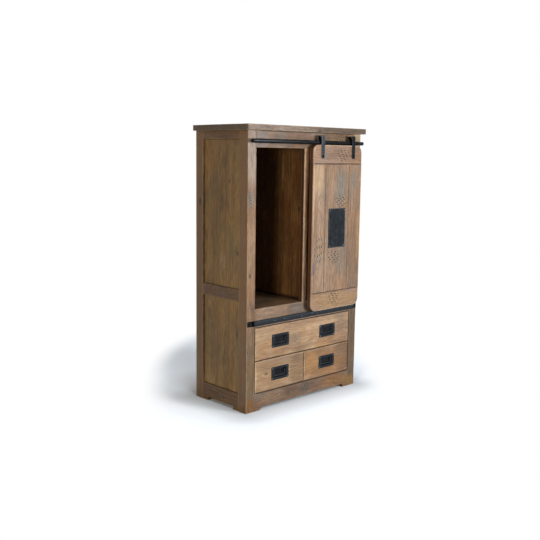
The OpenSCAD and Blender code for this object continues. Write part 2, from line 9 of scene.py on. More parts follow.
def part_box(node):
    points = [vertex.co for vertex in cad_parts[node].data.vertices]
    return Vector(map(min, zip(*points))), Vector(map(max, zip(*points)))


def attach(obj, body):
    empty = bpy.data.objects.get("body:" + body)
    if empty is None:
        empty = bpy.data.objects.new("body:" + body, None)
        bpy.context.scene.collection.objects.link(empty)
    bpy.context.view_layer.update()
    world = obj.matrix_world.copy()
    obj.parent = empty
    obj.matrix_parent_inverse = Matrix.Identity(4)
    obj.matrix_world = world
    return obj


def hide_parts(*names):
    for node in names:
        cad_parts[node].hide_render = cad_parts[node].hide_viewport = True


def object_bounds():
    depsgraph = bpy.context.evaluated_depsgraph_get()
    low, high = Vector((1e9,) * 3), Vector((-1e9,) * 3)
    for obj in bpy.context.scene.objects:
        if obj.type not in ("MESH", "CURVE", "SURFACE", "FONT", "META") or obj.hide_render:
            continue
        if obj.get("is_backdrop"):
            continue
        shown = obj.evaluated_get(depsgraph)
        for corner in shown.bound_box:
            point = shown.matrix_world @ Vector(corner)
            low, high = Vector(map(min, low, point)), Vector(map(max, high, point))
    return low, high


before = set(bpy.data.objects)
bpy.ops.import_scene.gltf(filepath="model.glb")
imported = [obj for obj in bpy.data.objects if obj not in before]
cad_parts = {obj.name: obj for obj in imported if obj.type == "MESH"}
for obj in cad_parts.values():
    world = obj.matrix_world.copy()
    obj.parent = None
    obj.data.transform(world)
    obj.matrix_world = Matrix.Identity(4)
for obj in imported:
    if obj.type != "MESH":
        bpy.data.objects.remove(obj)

# Highboard in rustic mango wood with a barn door on a round rail.
# Lengths are millimetres of the frame and turn to metres where a mesh is made, the studio is in metres.
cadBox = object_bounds()
scene = bpy.context.scene
random.seed(11)
print("frame loaded,", len(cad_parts), "nodes")


def linear(code):
    # sRGB hex to linear colour
    out = []
    for i in (1, 3, 5):
        c = int(code[i:i + 2], 16) / 255
        out.append(c / 12.92 if c <= 0.04045 else ((c + 0.055) / 1.055) ** 2.4)
    return (out[0], out[1], out[2], 1.0)


def span(node):
    # lowest and highest corner of a node in millimetres
    low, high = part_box(node)
    return Vector(low) * 1000, Vector(high) * 1000


def middleOf(low, high):
    return (low + high) / 2


def addNode(tree, kind, inputs=None, stops=None, **settings):
    # inputs are values or sockets: Math has 0 to 2, MapRange 0 and then its ranges, a colour Mix 0, 6 and 7
    node = tree.nodes.new("ShaderNode" + kind)
    for key, value in settings.items():
        setattr(node, key, value)
    for key, value in (inputs or {}).items():
        if isinstance(value, bpy.types.NodeSocket):
            tree.links.new(value, node.inputs[key])
        else:
            node.inputs[key].default_value = value
    for i, (place, colour) in enumerate(stops or []):
        ramp = node.color_ramp.elements
        stop = ramp[i] if i < 2 else ramp.new(place)
        stop.position = place
        stop.color = colour if len(colour) == 4 else (*colour, 1)
    return node


def emptyTree(owner):
    # nodes of a material or the world, with none in them yet
    owner.use_nodes = True
    owner.node_tree.nodes.clear()
    return owner.node_tree


def reachOf(tree, place, centre, size):
    # nought at the centre of an oval spot and one on its rim, centre and half axes in millimetres
    away = addNode(tree, "VectorMath", {0: place, 1: [c / 1000 for c in centre]},
                   operation="SUBTRACT").outputs[0]
    oval = addNode(tree, "VectorMath", {0: away, 1: [1000 / r for r in size]},
                   operation="MULTIPLY").outputs[0]
    return addNode(tree, "VectorMath", {0: oval}, operation="LENGTH").outputs["Value"]


def highest(tree, shares):
    # the highest of several shares, or nothing where there are none
    top = None
    for share in shares:
        if top is None:
            top = share
        else:
            top = addNode(tree, "Math", {0: top, 1: share}, operation="MAXIMUM").outputs[0]
    return top


def seenRays(tree):
    # one for what the camera, a reflection or glass sees, nought for light on its way
    rays = addNode(tree, "LightPath").outputs
    return highest(tree, [rays[key] for key in ("Is Camera Ray", "Is Glossy Ray", "Is Transmission Ray")])


# Wood materials
# Everyday mango boards, planed, stained and waxed: the colour drifts from tan to pink, orange and grey,
# long streaks follow the grain, and the arrises are rubbed pale.
# Sizes across the grain in mm. Real fibres and pores are a few tenths of a millimetre wide, and they and
# the nicks are drawn coarser, so that they show at this distance.
woodScale = {"band": 38, "streak": 8, "fibre": 1.6, "fleck": 9, "pore": 5, "ring": 11, "blotch": 190,
             "wander": 200}
woodStretch = {"streak": 0.055, "fleck": 0.3, "ring": 0.11, "knot": 0.5}  # along the grain, less is longer
axisOf = {"X": 0, "Y": 1, "Z": 2}


def makeNicks(tree, place, cut, groups):
    # short chisel strokes in slanting rows, one in each cell, and only inside oval groups
    split = addNode(tree, "SeparateXYZ", {0: place}).outputs
    flat = addNode(tree, "CombineXYZ", {0: split[axisOf[cut["across"]]], 1: split[2]}).outputs[0]
    flat = addNode(tree, "VectorRotate", {"Vector": flat, "Angle": math.radians(cut["turn"])},
                   rotation_type="Z_AXIS").outputs[0]
    rows = addNode(tree, "SeparateXYZ", {0: flat}).outputs
    pushed = addNode(tree, "Math", {0: rows[1], 1: cut["slant"], 2: rows[0]},
                     operation="MULTIPLY_ADD").outputs[0]
    flat = addNode(tree, "CombineXYZ", {0: pushed, 1: rows[1]}).outputs[0]
    wide, high = cut["pitch"]
    cells = addNode(tree, "VectorMath", {0: flat, 1: (1000 / wide, 1000 / high, 0)},
                    operation="MULTIPLY").outputs[0]
    cell = addNode(tree, "TexVoronoi", {"Vector": cells, "Scale": 1.0, "Randomness": 0.28},
                   voronoi_dimensions="2D").outputs
    offset = addNode(tree, "VectorMath", {0: cells, 1: cell["Position"]}, operation="SUBTRACT").outputs[0]
    shape = (wide * 2 / cut["size"][0], high * 2 / cut["size"][1], 0)
    offset = addNode(tree, "VectorMath", {0: offset, 1: shape}, operation="MULTIPLY").outputs[0]
    stroke = addNode(tree, "VectorMath", {0: offset}, operation="LENGTH").outputs["Value"]
    insides = []
    for centre, size in groups:
        reach = reachOf(tree, place, centre, size)
        insides.append(addNode(tree, "MapRange", {0: reach, 1: 0.85, 2: 1.15, 3: 1.0, 4: 0.0}).outputs[0])
    group = highest(tree, insides)
    # the cut itself, and the rubbed lip round it
    nick = addNode(tree, "MapRange", {0: stroke, 1: 0.75, 2: 1.2, 3: 1.0, 4: 0.0}).outputs[0]
    nick = addNode(tree, "Math", {0: nick, 1: group}, operation="MULTIPLY").outputs[0]
    lip = addNode(tree, "MapRange", {0: stroke, 1: 1.2, 2: 1.9, 3: 0.22, 4: 0.0}).outputs[0]
    lip = addNode(tree, "Math", {0: lip, 1: group}, operation="MULTIPLY").outputs[0]
    return nick, lip


def makeWood(name, look):
    material = bpy.data.materials.new(name)
    tree = emptyTree(material)
    place = addNode(tree, "TexCoord").outputs["Object"]
    shift = addNode(tree, "Attribute", attribute_name="shift").outputs["Vector"]
    tint = addNode(tree, "Attribute", attribute_name="tint").outputs["Fac"]
    wear = addNode(tree, "Attribute", attribute_name="wear").outputs["Fac"]
    flank = addNode(tree, "Attribute", attribute_name="flank").outputs["Fac"]
    grain = axisOf[look["grain"]]
    drawn = {key: [share if axis == grain else 1 for axis in range(3)] for key, share in woodStretch.items()}

    # each board gets its own piece of the tree
    seed = addNode(tree, "VectorMath", {0: (31, 17, 23), "Scale": tint}, operation="SCALE").outputs[0]
    local = addNode(tree, "VectorMath", {0: place, 1: shift}, operation="ADD").outputs[0]
    far = addNode(tree, "VectorMath", {0: place, 1: seed}, operation="ADD").outputs[0]

    # grain swings round the knots, given as place, size in millimetres and darkness
    bend = local
    cores = []
    for kx, ky, kz, size, dark in look["knots"]:
        away = addNode(tree, "VectorMath", {0: place, 1: (kx / 1000, ky / 1000, kz / 1000)},
                       operation="SUBTRACT").outputs[0]
        oval = addNode(tree, "VectorMath", {0: away, 1: drawn["knot"]}, operation="MULTIPLY").outputs[0]
        reach = addNode(tree, "VectorMath", {0: oval}, operation="LENGTH").outputs["Value"]
        near = addNode(tree, "MapRange", {0: reach, 1: 0.0, 2: size * 0.0035, 3: 0.75, 4: 0.0},
                       interpolation_type="SMOOTHSTEP").outputs[0]
        pull = addNode(tree, "VectorMath", {0: away, "Scale": near}, operation="SCALE").outputs[0]
        bend = addNode(tree, "VectorMath", {0: bend, 1: pull}, operation="SUBTRACT").outputs[0]
        cores.append(addNode(tree, "MapRange",
                             {0: reach, 1: size * 0.0004, 2: size * 0.0011, 3: dark, 4: 0.0},
                             interpolation_type="SMOOTHSTEP").outputs[0])
    knotDark = highest(tree, cores)

    # lines wander by up to 22 mm
    wander = addNode(tree, "TexNoise",
                     {"Vector": far, "Scale": 1000 / woodScale["wander"], "Detail": 2.0}).outputs["Color"]
    wander = addNode(tree, "VectorMath", {0: wander, 1: (0.5, 0.5, 0.5)}, operation="SUBTRACT").outputs[0]
    wander = addNode(tree, "VectorMath", {0: wander, "Scale": 0.045}, operation="SCALE").outputs[0]
    bend = addNode(tree, "VectorMath", {0: bend, 1: wander}, operation="ADD").outputs[0]
    along = addNode(tree, "VectorMath", {0: bend, 1: drawn["streak"]}, operation="MULTIPLY").outputs[0]
    along = addNode(tree, "VectorMath", {0: along, 1: seed}, operation="ADD").outputs[0]
    short = addNode(tree, "VectorMath", {0: bend, 1: drawn["fleck"]}, operation="MULTIPLY").outputs[0]
    short = addNode(tree, "VectorMath", {0: short, 1: seed}, operation="ADD").outputs[0]
    arch = addNode(tree, "VectorMath", {0: bend, 1: drawn["ring"]}, operation="MULTIPLY").outputs[0]

    band = addNode(tree, "TexNoise",
                   {"Vector": along, "Scale": 1000 / woodScale["band"], "Detail": 2.0}).outputs["Fac"]
    streak = addNode(tree, "TexNoise", {"Vector": along, "Scale": 1000 / woodScale["streak"],
                                        "Detail": 4.0, "Roughness": 0.6}).outputs["Fac"]
    fibre = addNode(tree, "TexNoise",
                    {"Vector": along, "Scale": 1000 / woodScale["fibre"], "Detail": 2.0}).outputs["Fac"]
    fleck = addNode(tree, "TexNoise", {"Vector": short, "Scale": 1000 / woodScale["fleck"],
                                       "Detail": 5.0, "Roughness": 0.72}).outputs["Fac"]
    pore = addNode(tree, "TexNoise",
                   {"Vector": along, "Scale": 1000 / woodScale["pore"], "Detail": 1.0}).outputs["Fac"]
    # a wave of scale 1 has a ring each tau / 20 m
    ring = addNode(tree, "TexWave", {"Vector": arch, "Scale": 1000 * math.tau / 20 / woodScale["ring"],
                                     "Distortion": 2.2, "Detail": 2.0, "Detail Scale": 1.4},
                   wave_type="RINGS", rings_direction="SPHERICAL").outputs["Fac"]
    blotch = addNode(tree, "TexNoise", {"Vector": far, "Scale": 1000 / woodScale["blotch"],
                                        "Detail": 3.0, "Roughness": 0.55}).outputs["Color"]
    blotches = addNode(tree, "SeparateColor", {0: blotch}).outputs

    # ground colour from dark to pale across the board, then drifts to grey and to orange
    tone = addNode(tree, "Math", {0: band, 1: blotches[0]}, operation="ADD").outputs[0]
    tone = addNode(tree, "Math", {0: tint, 1: 0.16, 2: tone}, operation="MULTIPLY_ADD").outputs[0]
    tone = addNode(tree, "MapRange", {0: tone, 1: 0.62, 2: 1.38, 3: 0.0, 4: 1.0}).outputs[0]
    colour = addNode(tree, "ValToRGB", {0: tone},
                     stops=[(0.0, linear(look["deep"])), (1.0, linear(look["pale"])),
                            (0.5, linear(look["base"]))]).outputs[0]
    greyed = addNode(tree, "MapRange", {0: blotches[1], 1: 0.5, 2: 0.68, 3: 0.0, 4: look["greyShare"]},
                     interpolation_type="SMOOTHSTEP").outputs[0]
    colour = addNode(tree, "Mix", {0: greyed, 6: colour, 7: linear(look["grey"])},
                     data_type="RGBA").outputs[2]
    warmed = addNode(tree, "MapRange", {0: blotches[2], 1: 0.5, 2: 0.68, 3: 0.0, 4: look["warmShare"]},
                     interpolation_type="SMOOTHSTEP").outputs[0]
    colour = addNode(tree, "Mix", {0: warmed, 6: colour, 7: linear(look["warm"])},
                     data_type="RGBA").outputs[2]

    # stains, and patches of painted shade, that sit at known places on this piece of furniture, with ragged
    # rims
    for centre, size, code, share in look["stainsAndShade"]:
        reach = reachOf(tree, place, centre, size)
        ragged = addNode(tree, "Math", {0: streak, 1: 0.8, 2: reach}, operation="MULTIPLY_ADD").outputs[0]
        patchMask = addNode(tree, "MapRange", {0: ragged, 1: 0.85, 2: 1.5, 3: share, 4: 0.0},
                        interpolation_type="SMOOTHSTEP").outputs[0]
        colour = addNode(tree, "Mix", {0: patchMask, 6: colour, 7: linear(code)}, data_type="RGBA").outputs[2]

    # streaks, fibres, rings, flecks and pores darken the ground colour
    shade = addNode(tree, "MapRange",
                    {0: streak, 1: 0.3, 2: 0.66, 3: 1.0 - look["streaks"], 4: 1.07}).outputs[0]
    threads = addNode(tree, "MapRange", {0: fibre, 1: 0.32, 2: 0.6, 3: 0.9, 4: 1.03}).outputs[0]
    rings = addNode(tree, "MapRange", {0: ring, 1: 0.0, 2: 1.0, 3: 1.0 - look["rings"], 4: 1.04}).outputs[0]
    flecks = addNode(tree, "MapRange", {0: fleck, 1: 0.36, 2: 0.64, 3: 1.0 - look["flecks"],
                                        4: 1.0 + 0.5 * look["flecks"]}).outputs[0]
    pores = addNode(tree, "MapRange", {0: pore, 1: 0.56, 2: 0.66, 3: 1.0, 4: 1.0 - look["pores"]}).outputs[0]
    gleam = addNode(tree, "MapRange", {0: pore, 1: 0.44, 2: 0.34, 3: 1.0, 4: 1.07}).outputs[0]
    for factor in (threads, rings, flecks, pores, gleam):
        shade = addNode(tree, "Math", {0: shade, 1: factor}, operation="MULTIPLY").outputs[0]
    colour = addNode(tree, "VectorMath", {0: colour, "Scale": shade}, operation="SCALE").outputs[0]

    # sawn flanks are darker; on the drawer fronts the dark flank is painted shade in the reveals
    dim = addNode(tree, "Math", {0: flank, 1: look["flankShare"]}, operation="MULTIPLY").outputs[0]
    colour = addNode(tree, "Mix", {0: dim, 6: colour, 7: linear(look["flank"])}, data_type="RGBA").outputs[2]

    # groups of chisel nicks, and the hearts of the knots
    nick = None
    if look["nicks"]:
        nick, lip = makeNicks(tree, place, look["nickCut"], look["nicks"])
        colour = addNode(tree, "Mix", {0: lip, 6: colour, 7: linear(look["rub"])},
                         data_type="RGBA").outputs[2]
        share = addNode(tree, "Math", {0: nick, 1: look["nickShare"]}, operation="MULTIPLY").outputs[0]
        colour = addNode(tree, "Mix", {0: share, 6: colour, 7: linear(look["char"])},
                         data_type="RGBA").outputs[2]
    if knotDark is not None:
        colour = addNode(tree, "Mix", {0: knotDark, 6: colour, 7: linear(look["char"])},
                         data_type="RGBA").outputs[2]

    # arrises are rubbed pale, in patches about 24 mm long
    rub = addNode(tree, "TexNoise", {"Vector": far, "Scale": 42.0, "Detail": 3.0}).outputs["Fac"]
    rub = addNode(tree, "MapRange", {0: rub, 1: 0.36, 2: 0.62, 3: 0.25, 4: look["rubShare"]}).outputs[0]
    rub = addNode(tree, "Math", {0: rub, 1: wear}, operation="MULTIPLY", use_clamp=True).outputs[0]
    colour = addNode(tree, "Mix", {0: rub, 6: colour, 7: linear(look["rub"])}, data_type="RGBA").outputs[2]

    # dark wax where boards meet, and painted shade in the panel recesses, the drawer gaps and under the top
    grimeAndShade = addNode(tree, "MapRange", {0: wear, 1: -1.0, 2: -0.02, 3: 0.95, 4: 0.0}).outputs[0]
    colour = addNode(tree, "Mix", {0: grimeAndShade, 6: colour, 7: linear(look["char"])}, data_type="RGBA").outputs[2]

    # relief 0.6 mm deep at most, with nicks and knots sunk in
    height = addNode(tree, "Math", {0: streak, 1: fibre}, operation="ADD").outputs[0]
    if nick is not None:
        height = addNode(tree, "Math", {0: nick, 1: -2.5, 2: height}, operation="MULTIPLY_ADD").outputs[0]
    if knotDark is not None:
        height = addNode(tree, "Math", {0: knotDark, 1: -1.0, 2: height}, operation="MULTIPLY_ADD").outputs[0]
    bump = addNode(tree, "Bump", {"Strength": 0.6, "Distance": 0.0006, "Height": height}).outputs[0]
    rough = addNode(tree, "MapRange", {0: streak, 1: 0.3, 2: 0.7, 3: 0.62, 4: 0.46}).outputs[0]
    shader = addNode(tree, "BsdfPrincipled",
                     {"Base Color": colour, "Roughness": rough, "IOR": 1.45, "Normal": bump})
    addNode(tree, "OutputMaterial", {0: shader.outputs[0]})
    return material


# Boards
# One board: an outline in its own plane, rings through the thickness with rounded arrises
boardWays = {
    "front": lambda u, v, w, at: (u, at + w, v),
    "back": lambda u, v, w, at: (-u, at - w, v),
    "left": lambda u, v, w, at: (at + w, -u, v),
    "right": lambda u, v, w, at: (at - w, u, v),
    "top": lambda u, v, w, at: (u, v, at - w),
}


boardStep = 28  # between the points along an edge


def boardOutline(corners):
    # corners (u, v, radius) run anticlockwise, and each point keeps what an inset of it needs
    points = []
    count = len(corners)
    for i in range(count):
        u, v, radius = corners[i]
        before = Vector((u - corners[i - 1][0], v - corners[i - 1][1])).normalized()
        ahead = Vector((corners[(i + 1) % count][0] - u, corners[(i + 1) % count][1] - v))
        length = ahead.length
        ahead.normalize()
        inBefore = Vector((-before.y, before.x))
        inAhead = Vector((-ahead.y, ahead.x))
        miter = (inBefore + inAhead) / (1 + inBefore.dot(inAhead))
        if radius > 0:
            centre = Vector((u, v)) + miter * radius
            turns = max(3, int(radius / 5))
            for k in range(turns + 1):
                way = inBefore.lerp(inAhead, k / turns).normalized()
                if radius > 10:
                    # even steps where the corner is large
                    angle = math.pi / 2 * k / turns
                    way = inBefore * math.cos(angle) + inAhead * math.sin(angle)
                points.append((centre - way * radius, way, centre, radius, miter))
        else:
            points.append((Vector((u, v)), miter, None, 0, miter))
        start = radius
        end = length - corners[(i + 1) % count][2]
        parts = max(1, int(round((end - start) / boardStep)))
        for k in range(1, parts):
            spot = Vector((u, v)) + ahead * (start + (end - start) * k / parts)
            points.append((spot, inAhead, None, 0, inAhead))
    return points


def insetPoint(point, d):
    spot, way, centre, radius, miter = point
    if centre is None or d <= radius:
        return spot + way * d
    return centre + miter * (d - radius)


def wearOf(inward, seams):
    # rubbed arris, or a dark edge on the sides that seams names, with its strength: wax at joints and painted
    # shade in recesses and gaps
    if abs(inward.x) > 0.7 and abs(inward.y) > 0.7:
        return 1 if not seams else 0
    if abs(inward.x) > abs(inward.y):
        side = "left" if inward.x > 0 else "right"
    else:
        side = "low" if inward.y > 0 else "high"
    return -seams[side] if side in seams else 1


def layerOf(mesh, name, kind="float"):
    # vertex layer that the materials read as an attribute
    layers = getattr(mesh.verts.layers, kind)
    return layers.get(name) or layers.new(name)


boardGap = 0.02  # glued boards stay a hair apart, so that each is a closed mesh of its own
dentWave = 0.021  # per millimetre, the arrises swell and thin over about 48 mm


def addBoard(mesh, way, at, corners, thick, arris, soft=7, tint=None, pockets=None, rough=1.0, seams=None):
    # arris is the rounding and soft the reach of the flank's shade, seams the sides that are darkened, with
    # wax at joints and painted shade in recesses and gaps
    wearLayer = layerOf(mesh, "wear")
    flankLayer = layerOf(mesh, "flank")
    tintLayer = layerOf(mesh, "tint")
    shiftLayer = layerOf(mesh, "shift", "float_vector")
    tint = random.uniform(-1, 1) if tint is None else tint
    soft = min(soft, thick * 0.45)
    points = boardOutline(corners)
    put = boardWays[way]
    middleU = sum(c[0] for c in corners) / len(corners)
    middleV = sum(c[1] for c in corners) / len(corners)
    middle = Vector(put(middleU, middleV, thick / 2, at)) / 1000
    offset = Vector([random.uniform(-0.05, 0.05) for _ in range(3)]) - middle
    # inset, depth, rubbing and flank shade of the rings round one arris
    front = [(soft, 0, 0, 0), (arris, 0, 0.7, 0), (0.3 * arris, 0.3 * arris, 1, 0), (0, arris, 0.25, 0.8),
             (0, soft, 0, 1)]
    rings = front + [(d, thick - w, worn, side) for d, w, worn, side in reversed(front)]
    made = []
    for d, w, worn, side in rings:
        ring = []
        for point in points:
            wave = Vector((point[0].x * dentWave, point[0].y * dentWave, tint * 9 + (w > thick / 2)))
            dent = noise.noise(wave) * 0.5 * rough
            spot = insetPoint(point, d * (1 + dent) if d < soft else d)
            inner = w
            if 0 < w < arris * 1.01:
                inner = w * (1 + dent)
            if thick - arris * 1.01 < w < thick:
                inner = thick - (thick - w) * (1 + dent)
            vert = mesh.verts.new(Vector(put(spot.x, spot.y, inner, at)) / 1000)
            vert[wearLayer] = worn * wearOf(point[1], seams or {})
            vert[flankLayer] = side
            vert[tintLayer] = tint
            vert[shiftLayer] = offset
            ring.append(vert)
        made.append(ring)
    count = len(points)
    flip = Vector(put(1, 0, 0, at)) - Vector(put(0, 0, 0, at))
    flip = flip.cross(Vector(put(0, 1, 0, at)) - Vector(put(0, 0, 0, at)))
    outward = Vector(put(0, 0, 0, at)) - Vector(put(0, 0, 1, at))
    turned = flip.dot(outward) < 0
    for ringA, ringB in zip(made, made[1:]):
        for k in range(count):
            quad = [ringA[k], ringB[k], ringB[(k + 1) % count], ringA[(k + 1) % count]]
            mesh.faces.new(quad if not turned else quad[::-1])
    if not pockets:
        mesh.faces.new(made[0][::-1] if turned else made[0])
    mesh.faces.new(made[-1] if turned else made[-1][::-1])
    if pockets:
        # pockets for sunk pulls, as (u, v, width, height, depth)
        for pu, pv, wide, high, deep in pockets:
            spots = [(pu + a * wide / 2, pv + b * high / 2) for a, b in ((-1, -1), (1, -1), (1, 1), (-1, 1))]
            walls = []
            for w, side in ((0, 0), (0.4, 1), (deep, 1)):
                walls.append([mesh.verts.new(Vector(put(u, v, w, at)) / 1000) for u, v in spots])
                for vert in walls[-1]:
                    vert[tintLayer] = tint
                    vert[shiftLayer] = offset
                    vert[flankLayer] = side
            for upper, lower in zip(walls, walls[1:]):
                for k in range(4):
                    mesh.faces.new([upper[k], lower[k], lower[(k + 1) % 4], upper[(k + 1) % 4]])
            mesh.faces.new(walls[-1])
        bmesh.ops.remove_doubles(mesh, verts=mesh.verts, dist=weldWithin)
        rims = [edge for edge in mesh.edges if edge.is_boundary]
        bmesh.ops.triangle_fill(mesh, use_beauty=True, edges=rims)


def square(u0, u1, v0, v1, radius):
    # corners of a plain board, or with one radius for each corner from the lower left round
    radii = radius if isinstance(radius, (list, tuple)) else [radius] * 4
    return [(u0, v0, radii[0]), (u1, v0, radii[1]), (u1, v1, radii[2]), (u0, v1, radii[3])]


weldWithin = 0.000002  # metres


def finishPiece(name, mesh, material, body, nodes):
    # turns the mesh under work into a piece that rides on its body
    bmesh.ops.remove_doubles(mesh, verts=mesh.verts, dist=weldWithin)
    bmesh.ops.dissolve_degenerate(mesh, edges=mesh.edges, dist=weldWithin)
    bmesh.ops.recalc_face_normals(mesh, faces=mesh.faces)
    data = bpy.data.meshes.new(name)
    mesh.to_mesh(data)
    mesh.free()
    piece = bpy.data.objects.new(name, data)
    scene.collection.objects.link(piece)
    data.materials.append(material)
    for face in data.polygons:
        face.use_smooth = True
    data.set_sharp_from_angle(angle=math.radians(50))
    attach(piece, body)
    if nodes:
        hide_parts(*nodes)
    return piece


# Looks of the wood, tuned part by part against the photo: pinkish and lilac on the door, tan on the drawers,
# olive brown with long streaks on the sides
# A stain or a patch of painted shade is a place, its half axes, a colour and a strength, and a group of nicks
# a place and its half axes
woodLook = {
    "grey": "#8f8477", "warm": "#a9784c", "char": "#1d120a", "flank": "#6b4a2f", "rub": "#cdb193",
    "greyShare": 0.6, "warmShare": 0.6, "flankShare": 0.25, "rubShare": 0.75, "nickShare": 0.7,
    "streaks": 0.26, "rings": 0.1, "flecks": 0.22, "pores": 0.2, "stainsAndShade": [], "knots": [], "nicks": [],
}
doorRailLook = dict(woodLook, grain="X", base="#a1826c", deep="#85664f", pale="#bd9d82", grey="#92807a",
                    warm="#ac7d50", streaks=0.18, rings=0.1, flank="#5a3517", flankShare=0.94, rubShare=0.95,
                    rub="#dcbf9f",
                    stainsAndShade=[((198, -227, 545), (240, 40, 62), "#b28e64", 0.75),
                            ((40, -227, 1370), (60, 40, 60), "#b88f6c", 0.6),
                            ((11, -227, 1400), (8, 6, 60), "#dfc2a0", 0.6),
                            ((0, -226, 1000), (3, 6, 900), "#5a3517", 0.9)],
                    nicks=[((243, -227, 1350), (52, 12, 38)), ((187, -227, 556), (50, 12, 40))],
                    nickCut={"across": "X", "turn": 5, "slant": 0.8, "pitch": (31, 11.6), "size": (21, 5)},
                    nickShare=1.0)
doorPlankLook = dict(woodLook, grain="Z", base="#a5866c", deep="#89694f", pale="#c8a688", grey="#8d8275",
                     warm="#a97a4e", streaks=0.2, rings=0.16, pores=0.14, flank="#5a3517", flankShare=0.94,
                     rubShare=0.95, rub="#dcbf9f",
                     stainsAndShade=[((230, -227, 1180), (62, 40, 120), "#8f8577", 0.85),
                             ((335, -227, 1214), (34, 40, 60), "#857c72", 0.75),
                             ((324, -227, 673), (26, 40, 110), "#877a6a", 0.7),
                             ((350, -227, 760), (80, 60, 300), "#86694f", 0.75),
                             ((381, -227, 871), (16, 40, 160), "#b08450", 0.6),
                             ((50, -227, 1240), (50, 40, 130), "#d3b18e", 0.8),
                             ((11, -227, 1150), (8, 6, 240), "#e6caa8", 0.8),
                             ((0, -226, 950), (3, 6, 900), "#5a3517", 0.9),
                             ((20, -227, 729), (14, 40, 40), "#7d6a72", 0.7),
                             ((28, -227, 1217), (9, 40, 60), "#cfa866", 0.6),
                             ((135, -227, 1180), (22, 40, 130), "#a8876a", 0.6),
                             ((158, -227, 1190), (3, 40, 115), "#c2a482", 0.8),
                             ((142, -227, 960), (16, 40, 430), "#b3947a", 0.5)],
                     knots=[(225, -227, 682, 16, 0.18)],
                     nicks=[((233, -227, 1097), (54, 12, 36)), ((180, -227, 793), (52, 12, 38))],
                     nickCut={"across": "X", "turn": 10, "slant": 1.4, "pitch": (33, 11.8), "size": (21, 5)},
                     nickShare=1.0)
# the drawers' dark flank is painted shade in the reveals
drawerLook = dict(woodLook, grain="X", base="#ad8c6c", deep="#8a6849", pale="#d2b08c", grey="#95826f",
                  warm="#b48450", streaks=0.15, rings=0.14, pores=0.12, flecks=0.15, flankShare=0.9,
                  flank="#3c2718", rubShare=0.95, rub="#dcc09a",
                  stainsAndShade=[((325, -187, 190), (100, 60, 130), "#7a573b", 0.85),
                          ((305, -187, 222), (54, 40, 44), "#84705e", 0.6),
                          ((-59, -187, 250), (32, 40, 26), "#7d6a68", 0.75),
                          ((-50, -187, 190), (90, 60, 130), "#856848", 0.7),
                          ((-250, -187, 190), (130, 60, 100), "#a5825a", 0.6),
                          ((310, -187, 375), (90, 40, 90), "#987c66", 0.55),
                          ((170, -187, 175), (210, 40, 90), "#a87b50", 0.6),
                          ((-250, -187, 415), (130, 40, 45), "#bd9a78", 0.5),
                          ((-362, -187, 180), (12, 40, 80), "#dab88f", 0.75),
                          ((60, -187, 205), (60, 40, 60), "#b98c58", 0.7),
                          # painted shade: a dark band along the wide drawer's top edge, under the mid rail
                          # and the channel
                          ((0, -187, 455), (3000, 60, 6.5), "#24160c", 0.92)],
                  knots=[(-287, -187, 192, 8, 0.6)],
                  nicks=[((303, -187, 390), (29, 12, 49)), ((-77, -187, 351), (29, 12, 19)),
                         ((-92, -187, 188), (15, 12, 24)), ((308, -187, 198), (21, 12, 17))],
                  nickCut={"across": "X", "turn": -14, "slant": 0.6, "pitch": (18, 13), "size": (12, 5)},
                  nickShare=0.9)
frontRailLook = dict(woodLook, grain="X", base="#8d7059", deep="#694f3b", pale="#b3957b", grey="#8a7f75",
                     warm="#926338", streaks=0.3, rings=0.1, flankShare=0.3, rubShare=0.6, rub="#b89c7e",
                     stainsAndShade=[((-345, -187, 1425), (80, 40, 60), "#998d87", 0.85),
                             ((236, -187, 1467), (40, 40, 12), "#a5673a", 0.5),
                             ((-40, -187, 515), (110, 40, 50), "#756b62", 0.8),
                             ((250, -187, 500), (240, 60, 60), "#6a5e52", 0.8),
                             ((260, -187, 1430), (200, 40, 60), "#836342", 0.7),
                             ((-230, -187, 60), (110, 40, 50), "#957a60", 0.8),
                             ((14, -187, 60), (52, 40, 40), "#645c54", 0.85),
                             ((-250, -187, 500), (120, 40, 40), "#98806a", 0.6),
                             ((250, -187, 60), (130, 40, 50), "#966c3f", 0.75),
                             ((350, -187, 40), (50, 40, 46), "#94703f", 0.75),
                             # painted shade inside the apron's cut-out by the right foot
                             ((329, -171, 8), (4, 13, 16), "#24160c", 0.97)],
                     nicks=[((10, -187, 58), (40, 12, 29)), ((250, -187, 1445), (50, 12, 20))],
                     nickCut={"across": "X", "turn": 8, "slant": 0.6, "pitch": (20, 13), "size": (14, 6)},
                     nickShare=1.0)
postLook = dict(woodLook, grain="Z", base="#a28263", deep="#755a43", pale="#c6a88a", grey="#928375",
                warm="#9e6c40", streaks=0.3, rings=0.08, flankShare=0.7, flank="#7b5f3f", rubShare=0.55,
                rub="#bfa282",
                stainsAndShade=[((-410, -187, 1125), (30, 30, 60), "#8c837d", 0.7),
                        ((-400, -187, 1475), (40, 30, 34), "#93857a", 0.85),
                        ((-400, -187, 220), (34, 30, 230), "#77603f", 0.85),
                        ((-400, -187, 35), (40, 30, 60), "#895f31", 0.9),
                        ((-398, -187, 830), (40, 30, 260), "#b08a66", 0.6),
                        ((-400, -187, 1345), (40, 30, 205), "#bcaa9c", 0.85),
                        ((400, -187, 250), (60, 60, 420), "#5e4b32", 0.9),
                        ((395, -187, 30), (50, 24, 44), "#94703f", 0.85),
                        ((-428, 199, 700), (20, 40, 900), "#523e28", 0.8),
                        # painted shade on the back posts' steps beside the recessed panels
                        ((-423, 176, 780), (10, 3, 760), "#1a120b", 0.95),
                        ((423, 176, 780), (10, 3, 760), "#1a120b", 0.95),
                        ((-428, -168, 22), (30, 24, 26), "#4d3a29", 0.6)],
                knots=[(-408, -187, 730, 9, 0.8), (-428, 199, 1097, 13, 0.85), (-420, -187, 329, 5, 0.8)],
                nicks=[((-408, -187, 325), (16, 12, 40)), ((-415, -187, 1125), (12, 12, 56))],
                nickCut={"across": "X", "turn": -30, "slant": 0.4, "pitch": (15, 13), "size": (11, 5)},
                nickShare=1.0)
